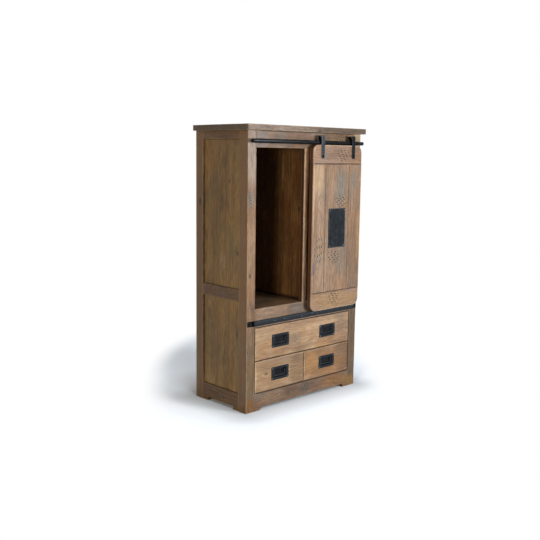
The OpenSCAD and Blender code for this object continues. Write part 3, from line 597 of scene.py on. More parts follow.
sideRailLook = dict(woodLook, grain="Y", base="#6d5236", deep="#503925", pale="#886947", grey="#665948",
                    warm="#774e28", streaks=0.26, rings=0.08, flankShare=0.2, rubShare=0.4, rub="#a98c6b",
                    # the four dark lines are painted shade on the rails' steps along the recessed panels
                    stainsAndShade=[((-423, 26, 653), (9, 156, 4), "#1a120b", 0.95),
                            ((423, 26, 653), (9, 156, 3), "#1a120b", 0.95),
                            ((-423, 26, 95), (9, 156, 3), "#1a120b", 0.95),
                            ((423, 26, 95), (9, 156, 3), "#1a120b", 0.95),
                            ((-428, 26, 582), (20, 120, 9), "#6e5d5c", 0.6),
                            ((-428, -128, 1440), (20, 22, 10), "#b06f35", 0.6)],
                    nicks=[((-428, 46, 615), (12, 60, 27)), ((-428, 22, 53), (12, 48, 16))],
                    nickCut={"across": "Y", "turn": 25, "slant": 0.6, "pitch": (21, 12), "size": (16, 7)},
                    nickShare=1.0)
panelLook = dict(woodLook, grain="Z", base="#987848", deep="#6c5030", pale="#b49361", grey="#7f7350",
                 warm="#a3733a", greyShare=0.5, warmShare=0.45, streaks=0.3, rings=0.16, flankShare=0.5,
                 rubShare=0.0, rub="#a98c6b",
                 stainsAndShade=[((-418, 15, 789), (12, 22, 60), "#b9a98e", 0.4),
                         ((-418, 90, 350), (12, 90, 240), "#7f6440", 0.6),
                         ((-418, -100, 408), (12, 5, 30), "#3a281a", 0.9),
                         ((-418, 70, 440), (12, 6, 100), "#b07a42", 0.6),
                         ((-418, -52, 320), (12, 9, 165), "#ad7840", 0.6),
                         ((-418, -82, 1408), (12, 26, 20), "#6b523b", 0.6)],
                 knots=[(-418, -33, 1211, 8, 0.8), (-418, -99, 840, 9, 0.8), (-418, -100, 408, 6, 0.8)])
mullionLook = dict(postLook, base="#bf9874", deep="#977353", pale="#d2b08f", flank="#44291a", flankShare=0.94,
                   knots=[], nicks=[],
                   # the first patch is a painted shadow of the door on the mullion, beside the door's left
                   # edge
                   stainsAndShade=[((17, -187, 900), (18, 12, 700), "#150c06", 0.97),
                           ((-16, -187, 640), (10, 12, 120), "#7d5a3a", 0.6)])
innerLook = dict(woodLook, grain="Z", base="#6f4c2a", deep="#4a2f18", pale="#8c673c", grey="#5d482e",
                 warm="#784a1f", streaks=0.34, rings=0.2, flankShare=0.2, rubShare=0.2, rub="#94754f",
                 stainsAndShade=[((-9, -6, 1266), (12, 7, 130), "#ab8a5e", 0.6),
                         ((-9, -13, 1100), (12, 8, 90), "#4c3320", 0.6),
                         # painted shade along the divider's foot at the compartment floor
                         ((-9, 0, 553), (20, 900, 24), "#140a06", 0.9)],
                 knots=[(-9, -136, 1058, 10, 0.8)])
slabWoodLook = dict(woodLook, grain="X", base="#957f6d", deep="#6c5642", pale="#b7a28e", grey="#8f8379",
                    warm="#94704c", streaks=0.4, rings=0.1, pores=0.35, flankShare=0.08, flank="#664d30",
                    rubShare=0.8, rub="#c9b6a1",
                    stainsAndShade=[((340, -209, 1485), (440, 90, 60), "#5f4d3c", 0.9),
                            ((-290, -209, 1485), (230, 60, 40), "#a59183", 0.7),
                            ((-452, 0, 1485), (14, 420, 60), "#58452e", 0.92),
                            ((452, 0, 1485), (14, 420, 60), "#58452e", 0.92)])
slabWood = makeWood("waxedMangoTop", slabWoodLook)
doorRailWood = makeWood("stainedMangoDoorRail", doorRailLook)
doorPlankWood = makeWood("stainedMangoDoorPlank", doorPlankLook)
leftPlankWood = makeWood("stainedMangoLeftPlank",
                         dict(doorPlankLook, nicks=[((60, -227, 840), (40, 12, 76))],
                              nickCut={"across": "X", "turn": 86, "slant": 0.25, "pitch": (39, 17),
                                       "size": (20, 5.2)}))
drawerWood = makeWood("waxedMangoDrawerFront", drawerLook)
frontRailWood = makeWood("waxedMangoFrontRail", frontRailLook)
postWood = makeWood("waxedMangoPost", postLook)
mullionWood = makeWood("waxedMangoMullion", mullionLook)
sideRailWood = makeWood("waxedMangoSideRail", sideRailLook)
panelWood = makeWood("waxedMangoPanel", panelLook)
innerWood = makeWood("oiledMangoInnerUpright", innerLook)
innerFlatWood = makeWood("oiledMangoInnerFlat",
                         dict(innerLook, grain="X", stainsAndShade=[], knots=[], base="#8c7159", deep="#685039",
                              pale="#a68a6e", grey="#776655", warm="#8a6238"))
# back boards drawn near black: a dark stain, and painted shade of the closed back of the open half
backWoodAndShade = makeWood("darkStainedBackBoardAndShade",
                    dict(innerLook, stainsAndShade=[], knots=[], base="#20140a", deep="#140c06", pale="#33210f",
                         grey="#1f170c", warm="#271709", pores=0.3))
print("wood materials made")


# Top, glued up from four boards
slabShape = {"boards": (0, 0.24, 0.52, 0.76, 1), "arris": 2.4, "corner": 4, "joint": 0.6,
             "tints": (0.1, -0.6, 0.4, -0.2)}
low, high = span("top_slab")
slab = bmesh.new()
corner, joint = slabShape["corner"], slabShape["joint"]
for i in range(4):
    v0 = low.y + (high.y - low.y) * slabShape["boards"][i]
    v1 = low.y + (high.y - low.y) * slabShape["boards"][i + 1]
    radii = [corner if i == 0 else joint] * 2 + [corner if i == 3 else joint] * 2
    addBoard(slab, "top", high.z, square(low.x, high.x, v0 + boardGap / 2, v1 - boardGap / 2, radii),
             high.z - low.z, arris=slabShape["arris"] if i in (0, 3) else joint, soft=4,
             tint=slabShape["tints"][i])
finishPiece("slab", slab, slabWood, "carcase", ["top_slab"])

# Posts, flush with the top rails and not rubbed there
postShape = {"arris": 2.0, "corner": 1.6, "inner": -0.35, "flushAbove": 1390, "flushWithin": 376}
for node in ("front_post_left", "front_post_right", "back_post_left", "back_post_right"):
    low, high = span(node)
    post = bmesh.new()
    way, at, flip = ("front", low.y, 1) if node.startswith("front") else ("back", high.y, -1)
    u0, u1 = sorted((low.x * flip, high.x * flip))
    innerSide = "right" if (high.x < 0) == (flip > 0) else "left"
    addBoard(post, way, at, square(u0, u1, low.z, high.z, postShape["corner"]), high.y - low.y,
             arris=postShape["arris"], seams={innerSide: postShape["inner"]})
    worn = layerOf(post, "wear")
    for vert in post.verts:
        if vert.co.z > postShape["flushAbove"] / 1000 and abs(vert.co.x) < postShape["flushWithin"] / 1000:
            vert[worn] = 0
    finishPiece(node.replace("_", "") + "Board", post, postWood, "carcase", [node])

# Side frames: aprons cut out between feet that take in the posts, and panels glued up from three boards each
sideShape = {"foot": 104, "frontPost": 63, "backPost": 60, "cutHigh": 18, "joints": (-32, 62),
             "tints": (0.5, -0.3, -0.7)}
for side, flip in (("left", -1), ("right", 1)):
    for part in ("side_top_rail_", "side_mid_rail_", "side_apron_"):
        low, high = span(part + side)
        rail = bmesh.new()
        at = low.x if side == "left" else high.x
        u0, u1 = sorted((low.y * flip, high.y * flip))
        corners = square(u0, u1, low.z, high.z, 0)
        if part == "side_apron_":
            cut = sideShape["cutHigh"]
            a, b = (sideShape["foot"] - sideShape[post] for post in ("backPost", "frontPost"))
            if side == "right":
                a, b = b, a
            corners = [(u0, low.z, 0), (u0 + a, low.z, 0), (u0 + a, cut, 0), (u1 - b, cut, 0),
                       (u1 - b, low.z, 0), (u1, low.z, 0), (u1, high.z, 0), (u0, high.z, 0)]
        addBoard(rail, side, at, corners, high.x - low.x, arris=1.4, soft=5)
        finishPiece(part.replace("_", "") + side.title(), rail, sideRailWood, "carcase", [part + side])
    low, high = span("side_panels_" + side)
    panels = bmesh.new()
    at = low.x if side == "left" else high.x
    railLow, railHigh = span("side_mid_rail_" + side)
    cuts = [low.y, *sideShape["joints"], high.y]
    frontSide = "right" if side == "left" else "left"
    for z0, z1, share in ((low.z, railLow.z, -0.8), (railHigh.z, high.z, 1)):
        for k, (y0, y1) in enumerate(zip(cuts, cuts[1:])):
            u0, u1 = sorted((y0 * flip, y1 * flip))
            # dark along the rails and the back post: painted shade of the recess, with wax in the joints
            seams = {"low": 0.95, "high": 0.6, side: 0.95 if k == 2 else 0.25, frontSide: 0.2}
            addBoard(panels, side, at, square(u0 + boardGap / 2, u1 - boardGap / 2, z0, z1, 0),
                     high.x - low.x, arris=0.8, soft=4.5, rough=0.3, seams=seams,
                     tint=sideShape["tints"][k] * share)
    finishPiece("sidePanels" + side.title(), panels, panelWood, "carcase", ["side_panels_" + side])

# Front frame, dark under the top and along the drawers: painted shade of the top's overhang and the drawer
# gaps, with wax in the joints
frontShape = {"arris": 1.6, "cutHalf": 328, "cutHigh": 18, "midLower": 2.5}
frontSeams = {"front_top_rail": {"high": 0.95, "left": 0.12, "right": 0.12},
              "front_apron": {"high": 0.9, "left": 0.1, "right": 0.1},
              "front_mid_rail": {"left": 0.1, "right": 0.1}}
for node in ("front_top_rail", "front_mid_rail", "front_apron", "mullion"):
    low, high = span(node)
    rail = bmesh.new()
    if node == "front_mid_rail":
        low.z -= frontShape["midLower"]  # down to a hair above the wide drawer
    corners = square(low.x, high.x, low.z, high.z, 0)
    if node == "front_apron":
        cut, top = frontShape["cutHalf"], frontShape["cutHigh"]
        corners = [(low.x, low.z, 0), (-cut, low.z, 0), (-cut, top, 0), (cut, top, 0), (cut, low.z, 0),
                   (high.x, low.z, 0), (high.x, high.z, 0), (low.x, high.z, 0)]
    addBoard(rail, "front", low.y, corners, high.y - low.y, arris=frontShape["arris"], soft=6,
             seams=frontSeams.get(node))
    wood = mullionWood if node == "mullion" else frontRailWood
    finishPiece(node.replace("_", "") + "Board", rail, wood, "carcase", [node])
print("carcase made")

# Inner boards that the open half shows
innerShape = {"dividerJoints": (-78, 20, 118), "floorJoints": (-10, 90), "arris": 0.5, "soft": 2.5,
              "rough": 0.3}
innerEdge = {key: innerShape[key] for key in ("arris", "soft", "rough")}
low, high = span("centre_divider")
divider = bmesh.new()
cuts = [low.y, *innerShape["dividerJoints"], high.y]
for y0, y1 in zip(cuts, cuts[1:]):
    board = square(-y1 + boardGap / 2, -y0 - boardGap / 2, low.z, high.z, 0)
    addBoard(divider, "left", low.x, board, high.x - low.x, **innerEdge)
finishPiece("dividerBoards", divider, innerWood, "carcase", ["centre_divider"])

low, high = span("compartment_floor")
postBack = span("front_post_left")[1]
backPostFront = span("back_post_left")[0]
floorBoards = bmesh.new()
cuts = [low.y, postBack.y, *innerShape["floorJoints"], backPostFront.y, high.y]
for i, (y0, y1) in enumerate(zip(cuts, cuts[1:])):
    side = postBack.x if i in (0, 4) else low.x  # narrower between the posts
    board = square(side, -side, y0 + boardGap / 2, y1 - boardGap / 2, 0)
    addBoard(floorBoards, "top", high.z, board, high.z - low.z, **innerEdge)
finishPiece("compartmentFloorBoards", floorBoards, innerFlatWood, "carcase", ["compartment_floor"])

# CAD nodes whose shape is right take on a wood
nodeWoods = {"back_panels": backWoodAndShade, "drawer_partition": innerWood}
for node in ("back_rails", "drawer_web", "bottom_board", "drawer_battens", "top_drawer_walls",
             "left_drawer_walls", "right_drawer_walls", "top_drawer_bottom", "left_drawer_bottom",
             "right_drawer_bottom"):
    nodeWoods[node] = innerFlatWood
for node, wood in nodeWoods.items():
    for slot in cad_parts[node].material_slots:
        slot.material = wood
print("inner boards made")

# Door, waxed dark where its boards meet
doorShape = {"corner": 42, "arris": 3.0, "joint": 1.4}
big = doorShape["corner"]
for node, tint, radii, seams in (("door_top_rail", 0.1, (0, 0, big, big), {"left": -0.2, "low": 0.9}),
                                 ("door_bottom_rail", 0.3, (big, big, 0, 0), {"left": -0.2, "high": 0.9})):
    low, high = span(node)
    rail = bmesh.new()
    addBoard(rail, "front", low.y, square(low.x, high.x, low.z, high.z, radii), high.y - low.y,
             arris=doorShape["arris"], tint=tint, seams=seams)
    finishPiece(node.replace("_", "") + "Board", rail, doorRailWood, "door", [node])
endSeams = {"low": 0.9, "high": 0.9}
for node, wood, tint, seams in (("door_plank_left", leftPlankWood, 0.55, {"left": -0.2, "right": 0.9}),
                                ("door_plank_middle", doorPlankWood, -0.35, {"left": 0.9, "right": 0.9}),
                                ("door_plank_right", doorPlankWood, 0.05, {"left": 0.9})):
    low, high = span(node)
    plank = bmesh.new()
    addBoard(plank, "front", low.y, square(low.x, high.x, low.z, high.z, 0), high.y - low.y,
             arris=doorShape["joint"], soft=3.5, tint=tint, rough=0.4, seams=dict(seams, **endSeams))
    finishPiece(node.replace("_", "") + "Board", plank, wood, "door", [node])
print("door made")

# Drawer fronts, with pockets for the sunk pulls
pullShape = {"plate": (128, 72, 6), "thick": 2, "dish": (94, 50, 4), "open": (90, 46, 7), "deep": 13,
             "pocket": (94.4, 50.4, 13.2), "screwIn": 8, "screwWide": 7, "screwHigh": 1.25}
pullsOf = {"top_drawer": ("top_left", "top_right"), "left_drawer": ("lower_left",),
           "right_drawer": ("lower_right",)}
pullSpots = {}
# the dark edges round the drawer fronts are painted shade of the gaps, with wax in the joints
drawerSeams = {"top_drawer": {"high": 1.6, "right": 0.4, "low": 0.9},
               "left_drawer": {"high": -0.4, "right": 0.9, "low": 0.9},
               "right_drawer": {"high": -0.4, "right": 0.9, "low": 0.9}}
for drawer, tint in (("top_drawer", 0.45), ("left_drawer", 0.35), ("right_drawer", -0.5)):
    low, high = span(drawer + "_front")
    holes = []
    for name in pullsOf[drawer]:
        centre = middleOf(*span("pull_" + name))
        pullSpots[name] = (centre.x, centre.z)
        holes.append((*pullSpots[name], *pullShape["pocket"]))
    board = bmesh.new()
    addBoard(board, "front", low.y, square(low.x, high.x, low.z, high.z, 1.6), high.y - low.y, arris=2.4,
             tint=tint, pockets=holes, seams=drawerSeams[drawer])
    finishPiece(drawer.replace("_", "") + "Front", board, drawerWood, drawer, [drawer + "_front"])
print("drawer fronts made")


# Iron
# Black lacquer over hammered iron: dark blue-grey with a dull sheen, rubbed to bare metal on the arrises
def makeIron(name, **changes):
    look = dict(ironLook, **changes)
    material = bpy.data.materials.new(name)
    tree = emptyTree(material)
    place = addNode(tree, "TexCoord").outputs["Object"]
    wear = addNode(tree, "Attribute", attribute_name="wear").outputs["Fac"]
    cloud = addNode(tree, "TexNoise",
                    {"Vector": place, "Scale": 1000 / look["cloud"], "Detail": 4.0,
                     "Roughness": 0.62}).outputs["Fac"]
    pit = addNode(tree, "TexNoise",
                  {"Vector": place, "Scale": 1000 / look["pit"], "Detail": 3.0}).outputs["Fac"]
    colour = addNode(tree, "ValToRGB", {0: cloud},
                     stops=[(0.3, linear(look["deep"])), (0.72, linear(look["pale"])),
                            (0.5, linear(look["base"]))]).outputs[0]
    rub = addNode(tree, "MapRange", {0: pit, 1: 0.4, 2: 0.6, 3: 0.25, 4: look["rubShare"]}).outputs[0]
    rub = addNode(tree, "Math", {0: rub, 1: wear}, operation="MULTIPLY").outputs[0]
    for centre, size in look["bare"]:
        reach = reachOf(tree, place, centre, size)
        spot = addNode(tree, "MapRange", {0: reach, 1: 0.5, 2: 1.0, 3: 0.9, 4: 0.0}).outputs[0]
        rub = addNode(tree, "Math", {0: rub, 1: spot}, operation="MAXIMUM").outputs[0]
    colour = addNode(tree, "Mix", {0: rub, 6: colour, 7: linear(look["rub"])}, data_type="RGBA").outputs[2]
    shine = addNode(tree, "MapRange",
                    {0: cloud, 1: 0.3, 2: 0.7, 3: look["rough"] + 0.08, 4: look["rough"] - 0.08}).outputs[0]
    bump = addNode(tree, "Bump", {"Strength": look["bump"], "Distance": 0.0005, "Height": pit}).outputs[0]
    shader = addNode(tree, "BsdfPrincipled",
                     {"Base Color": colour, "Roughness": shine, "Metallic": look["metal"],
                      "Specular IOR Level": look["gloss"], "Normal": bump})
    if look["drawn"]:
        # a bar drawn lengthwise spreads its highlight round the bar
        around = addNode(tree, "Tangent", direction_type="RADIAL", axis="X").outputs[0]
        tree.links.new(around, shader.inputs["Tangent"])
        shader.inputs["Anisotropic"].default_value = look["drawn"]
    addNode(tree, "OutputMaterial", {0: shader.outputs[0]})
    return material


# Clouds in the lacquer 30 mm and pits 3 mm across, coarser than real ones, so that they show
ironLook = {"base": "#202327", "deep": "#15181a", "pale": "#2d3237", "rub": "#6a747d", "rubShare": 0.5,
            "rough": 0.42, "metal": 0.0, "gloss": 0.07, "bump": 0.6, "cloud": 30, "pit": 3, "bare": [],
            "drawn": 0}
# nearly black on the small hardware, black lacquer that also stands in for painted shade on the wheels;
# greyer on the pulls, palest on bails; the left strap's pale copy is painted light and the right strap's dark
# copy painted shade
blackIronAndShade = makeIron("lacqueredBlackIronAndShade", base="#08090a", deep="#050506", pale="#0f1113", rub="#3c4349",
                     gloss=0.04)
pullIron = makeIron("lacqueredPullIron", base="#1a1d20", deep="#121416", pale="#262a2e", rub="#4f575f")
bailIron = makeIron("lacqueredBailIron", base="#2d3237", deep="#1f2327", pale="#3d444a", rub="#69737c")
plateIron = makeIron("hammeredPlateIron", base="#24292e", deep="#191d21", pale="#333a40", cloud=26, pit=5,
                     bump=1.0, rough=0.5)
paintedLitStrapIron = makeIron("rubbedStrapIronPaintedLit", base="#454b52", deep="#2d3236", pale="#5d656d", rubShare=0.8,
                     rub="#929da8")
paintedShadeStrapIron = makeIron("rubbedStrapIronPaintedShade", base="#181b1e", deep="#0f1113", pale="#262b2f", rubShare=0.6,
                           rub="#5c656d")
# the channel's lip is rubbed pale in spots: bare metal, and painted glints of light
channelIron = makeIron("rubbedChannelIron", base="#191c1f", deep="#101214", pale="#272b2f", rubShare=0.6,
                       rub="#66717b",
                       bare=[((-244, -204, 480), (9, 8, 3)), ((-170, -204, 482), (12, 8, 2.5)),
                             ((-40, -204, 478), (8, 8, 3)), ((40, -204, 484), (10, 8, 2.5))])
# the screws are plain steel, brighter and harder in sheen than lacquer
screwIron = makeIron("brightScrewSteel", base="#4d5359", deep="#3a3f44", pale="#666d73", rub="#868e95",
                     metal=0.4, gloss=0.5, rough=0.35)
# the rail is smooth and glossier
rodIron = makeIron("lacqueredRodIron", base="#060607", deep="#040405", pale="#09090a", rub="#2b3036",
                   rough=0.32, gloss=0.05, bump=0.02, drawn=0.9)
# nylon shoes are an even satin black
shoeNylon = makeIron("mouldedBlackNylon", base="#1d1d1e", deep="#171718", pale="#262627", rub="#38383a",
                     rough=0.5, cloud=12)


def lathe(mesh, profile, axis, centre, turns, wear=None):
    # profile (along, radius) turned about an axis through centre, closed where the radius is nil
    layer = layerOf(mesh, "wear")
    others = {"X": (1, 2), "Y": (0, 2), "Z": (0, 1)}[axis]
    rings = []
    for k, (along, radius) in enumerate(profile):
        ring = []
        for j in range(turns if radius > 0 else 1):
            angle = math.tau * j / turns
            spot = Vector(centre)
            spot[axisOf[axis]] += along
            spot[others[0]] += radius * math.cos(angle)
            spot[others[1]] += radius * math.sin(angle)
            vert = mesh.verts.new(spot / 1000)
            vert[layer] = wear[k] if wear else 0
            ring.append(vert)
        rings.append(ring)
    for a, b in zip(rings, rings[1:]):
        for j in range(turns):
            corners = [a[j % len(a)], a[(j + 1) % len(a)], b[(j + 1) % len(b)], b[j % len(b)]]
            corners = list(dict.fromkeys(corners))
            if len(corners) > 2:
                mesh.faces.new(corners)
    return rings


def skinRings(mesh, rings):
    # walls between rings with the same count of points, and a face on either end
    count = len(rings[0])
    for a, b in zip(rings, rings[1:]):
        for j in range(count):
            mesh.faces.new([a[j], a[(j + 1) % count], b[(j + 1) % count], b[j]])
    mesh.faces.new(rings[0][::-1])
    mesh.faces.new(rings[-1])


def barSection(wide, thick):
    # half sizes in: points (a, b, rubbing) of a circle of 16, or of a flat bar with rounded arrises
    if abs(wide - thick) < 0.01:
        turns = [math.tau * j / 16 for j in range(16)]
        return [(math.cos(turn) * wide, math.sin(turn) * thick, 0.3) for turn in turns]
    edge = min(0.9, thick * 0.45, wide * 0.45)
    inside = max(wide - edge - 1.6, wide * 0.3)
    spots = []
    for cx, cy, start in ((1, 1, 0), (-1, 1, 1), (-1, -1, 2), (1, -1, 3)):
        if start in (1, 3):
            spots.append((cx * inside, cy * thick, 0))
        for j in range(4):
            angle = math.pi / 2 * (start + j / 3)
            spots.append((cx * (wide - edge) + math.cos(angle) * edge,
                          cy * (thick - edge) + math.sin(angle) * edge, 1))
        if start in (0, 2):
            spots.append((cx * inside, cy * thick, 0))
    return spots


def sweep(mesh, path, halfWide, halfThick, sideways, wear=0.0):
    # bar along path with half sizes for each point, sideways is its wide axis
    layer = layerOf(mesh, "wear")
    rings = []
    for k, spot in enumerate(path):
        ahead = (path[min(k + 1, len(path) - 1)] - path[max(k - 1, 0)]).normalized()
        across = Vector(sideways).normalized()
        up = ahead.cross(across).normalized()
        across = up.cross(ahead).normalized()
        ring = []
        for a, b, worn in barSection(halfWide[k], halfThick[k]):
            vert = mesh.verts.new((spot + across * a + up * b) / 1000)
            vert[layer] = worn if wear == 0 else wear
            ring.append(vert)
        rings.append(ring)
    skinRings(mesh, rings)


def arc(centre, radius, start, end, count, plane):
    # points on an arc, plane gives the two axes of the angle
    points = []
    for k in range(count + 1):
        angle = math.radians(start + (end - start) * k / count)
        way = Vector(plane[0]) * math.cos(angle) + Vector(plane[1]) * math.sin(angle)
        points.append(Vector(centre) + way * radius)
    return points


# Rail for the door: turned bar, plain on the left and with a neck and a ball on the right
rodShape = {"endRound": 3, "neck": 8.5, "neckLong": 3, "ball": 10.5, "ballFrom": 128, "parts": 26}
low, high = span("rail_rod")
rodCentre = middleOf(low, high)
rodRadius = (high.z - low.z) / 2
half = (high.x - low.x) / 2
endRound = rodShape["endRound"]
profile = [(-half, 0)]
wears = [0.2]
for k in range(6):
    angle = math.radians(90 * k / 5)
    profile.append((-half + endRound * (1 - math.cos(angle)), rodRadius - endRound * (1 - math.sin(angle))))
    wears.append(0.4)
ballX = half - rodShape["ball"]
neckStart = ballX - rodShape["ball"] - rodShape["neckLong"]
barStart = -half + endRound
barEnd = neckStart - 1
for k in range(1, rodShape["parts"] + 1):
    profile.append((barStart + (barEnd - barStart) * k / rodShape["parts"], rodRadius))
    wears.append(0.1)
neck, ball = rodShape["neck"], rodShape["ball"]
profile += [(neckStart, rodRadius - 1), (neckStart + 0.4, neck), (neckStart + 2.5, neck)]
wears += [1, 0, 0]
for k in range(13):
    angle = math.radians(rodShape["ballFrom"] * (1 - k / 12))
    profile.append((ballX + ball * math.cos(angle), ball * math.sin(angle) if k < 12 else 0))
    wears.append(0.4)
rod = bmesh.new()
lathe(rod, profile, "X", rodCentre, 48, wears)
doorRail = finishPiece("doorRail", rod, rodIron, "carcase", ["rail_rod"])

# Standoffs with a small collar at the wood
standoffShape = {"fromEnd": 6, "collar": 8.6, "waist": 5.2, "tip": 6, "long": 18}
low, high = span("rod_standoffs")
standoffs = bmesh.new()
collar, long = standoffShape["collar"], standoffShape["long"]
profile = [(0.2, 0), (0.2, collar), (-1.6, collar), (-2.4, collar - 1), (-3, 5.8),
           (-8, standoffShape["waist"]), (-14, 5.8), (-long, standoffShape["tip"]), (-long, 0)]
for x in (low.x + standoffShape["fromEnd"], 0, high.x - standoffShape["fromEnd"]):
    lathe(standoffs, profile, "Y", (x, high.y, rodCentre.z), 28, [0, 0.2, 1, 0.6, 0, 0, 0, 0.4, 0])
finishPiece("railStandoffs", standoffs, blackIronAndShade, "carcase", ["rod_standoffs"])

# Hangers: straps bent over the wheels
strapShape = {"half": 2.0, "bend": 6.5, "round": 4, "legBelowAxle": 7, "taper": 1.5}
wheelShape = {"bore": 3.05, "hub": 6, "core": 10, "clear": 0.3, "turns": 36}
for name in ("left", "right"):
    low, high = span("hanger_" + name)
    wheelLow, wheelHigh = span("wheel_" + name)
    centre = middleOf(wheelLow, wheelHigh)
    x = (low.x + high.x) / 2
    wide = (high.x - low.x) / 2
    thick = strapShape["half"]
    yFront = low.y + thick
    yBack = high.y - thick
    top = high.z - thick
    legEnd = centre.z - strapShape["legBelowAxle"]
    r = strapShape["bend"] - thick
    path = []
    widths = []
    for k in range(6):
        angle = math.radians(90 * k / 5)
        path.append(Vector((x, yFront, low.z + strapShape["round"] * (1 - math.cos(angle)))))
        widths.append(wide - strapShape["round"] * (1 - math.sin(angle)))
    middle = [Vector((x, yFront, z)) for z in (low.z + 20, low.z + 50, top - r - 3)]
    middle += arc((x, yFront + r, top - r), r, 180, 90, 6, ((0, 1, 0), (0, 0, 1)))
    middle += [Vector((x, (yFront + yBack) / 2, top))]
    middle += arc((x, yBack - r, top - r), r, 90, 0, 6, ((0, 1, 0), (0, 0, 1)))
    middle += [Vector((x, yBack, legEnd + 2)), Vector((x, yBack, legEnd))]
    path += middle
    widths += [wide] * (len(middle) - 1) + [wide - strapShape["taper"]]
    strap = bmesh.new()
    sweep(strap, path, widths, [thick] * len(path), (1, 0, 0))
    # the left strap is painted as lit, the right one painted in shade
    strapMetal = paintedLitStrapIron if name == "left" else paintedShadeStrapIron
    finishPiece("strap" + name.title(), strap, strapMetal, "door", ["hanger_" + name])

    # wheel with rounded flanges, a hub and a groove that fits the rail
    flange = (wheelHigh.z - wheelLow.z) / 2
    w = (wheelHigh.y - wheelLow.y) / 2
    hub, core = wheelShape["hub"], wheelShape["core"]
    groove = rodRadius + wheelShape["clear"]
    flank = [(-w, wheelShape["bore"]), (-w, hub), (-w + 1, hub + 0.6), (-w + 1, flange - 2.2),
             (-w + 0.3, flange - 1.4), (-w + 0.3, flange - 0.3), (-w + 0.8, flange)]
    profile = list(flank)
    reach = math.sqrt(groove ** 2 - (core + groove - flange) ** 2)
    for k in range(11):
        y = -reach + 2 * reach * k / 10
        profile.append((y, core + groove - math.sqrt(groove ** 2 - y * y)))
    profile += [(-along, radius) for along, radius in reversed(flank)]
    wheel = bmesh.new()
    turns = wheelShape["turns"]
    rings = lathe(wheel, profile, "Y", centre, turns, [0.4] * len(profile))
    for j in range(turns):
        wheel.faces.new([rings[0][j], rings[-1][j], rings[-1][(j + 1) % turns], rings[0][(j + 1) % turns]])
    finishPiece("wheel" + name.title(), wheel, blackIronAndShade, "wheel_" + name, ["wheel_" + name])

# Bolts with domed heads, their nuts and the axles
boltShape = {"fromEnd": 12, "dome": 5, "head": 7.5, "shank": 3.5, "long": 37, "nut": 6.93, "axle": 3}
doorBack = span("door_plank_middle")[1].y
strapFront = span("hanger_left")[0].y
bolts = bmesh.new()
for name in ("left", "right"):
    low, high = span("hanger_" + name)
    x = (low.x + high.x) / 2
    z = low.z + boltShape["fromEnd"]
    head, shank, long, nut, axle = (boltShape[key] for key in ("head", "shank", "long", "nut", "axle"))
    dome = [(-boltShape["dome"], 0)]
    wears = [1]
    for k in range(1, 8):
        angle = math.radians(12 + 78 * k / 7)
        dome.append((-boltShape["dome"] * math.cos(angle * 0.98), head * math.sin(angle)))
        wears.append(0.8 - 0.1 * k)
    dome += [(0.1, head), (0.1, shank), (long - 1, shank), (long, 2.6), (long, 0)]
    lathe(bolts, dome, "Y", (x, strapFront, z), 30, wears + [0, 0, 0, 0, 0])
    profile = [(0.1, 0), (0.1, 6.2), (0.6, nut), (4.4, nut), (5, 6.2), (5, 0)]
    lathe(bolts, profile, "Y", (x, doorBack, z), 6, [0, 1, 1, 1, 1, 0])
    zAxle = middleOf(*span("wheel_" + name)).z
    end = high.y - strapFront
    profile = [(-1.2, 0), (-1.2, 2), (-0.4, axle), (0, axle), (end, axle), (end + 0.6, 2.2), (end + 0.6, 0)]
    lathe(bolts, profile, "Y", (x, strapFront, zAxle), 24, [1, 1, 1, 0, 0, 1, 1])
finishPiece("hangerBolts", bolts, blackIronAndShade, "door", ["hanger_bolts"])
print("rail and hangers made")


def roundedLoop(wide, high, radius, depth):
    # closed loop of a rounded rectangle at a depth behind the front, six points for each corner
    loop = []
    for sx, sz, start in ((1, 1, 0), (-1, 1, 90), (-1, -1, 180), (1, -1, 270)):
        for k in range(6):
            angle = math.radians(start + 90 * k / 5)
            loop.append((sx * (wide / 2 - radius) + radius * math.cos(angle), depth,
                         sz * (high / 2 - radius) + radius * math.sin(angle)))
    return loop


def stackLoops(mesh, loops, centre, wears):
    # skin over a row of loops, closed at both ends
    layer = layerOf(mesh, "wear")
    rings = []
    for loop, worn in zip(loops, wears):
        ring = []
        for x, y, z in loop:
            vert = mesh.verts.new((Vector(centre) + Vector((x, y, z))) / 1000)
            vert[layer] = worn
            ring.append(vert)
        rings.append(ring)
    skinRings(mesh, rings)


def addScrew(mesh, centre, radius, height, turn):
    # domed head with a slot 0.9 mm wide
    part = bmesh.new()
    profile = [(0.3, 0), (0.3, radius * 0.9), (0, radius)]
    for angle in (math.radians(a) for a in (15, 35, 55, 75)):
        profile.append((-height * math.sin(angle), radius * math.cos(angle)))
    profile.append((-height, 0))
    lathe(part, profile, "Y", (0, 0, 0), 24, [0, 0, 0.3, 0.6, 0.8, 1, 1, 1])
    for d in (-0.6, -0.45, 0.45, 0.6):
        everything = part.verts[:] + part.edges[:] + part.faces[:]
        bmesh.ops.bisect_plane(part, geom=everything, plane_co=(d / 1000, 0, 0), plane_no=(1, 0, 0))
    for vert in part.verts:
        if abs(vert.co.x) < 0.00046 and vert.co.y < 0:
            vert.co.y = max(vert.co.y, -height * 0.45 / 1000)
    setting = Matrix.Translation(Vector(centre) / 1000) @ Matrix.Rotation(turn, 4, "Y")
    bmesh.ops.transform(part, matrix=setting, verts=part.verts)
    keep = bpy.data.meshes.new("screwKeep")
    part.to_mesh(keep)
    part.free()
    mesh.from_mesh(keep)
    bpy.data.meshes.remove(keep)


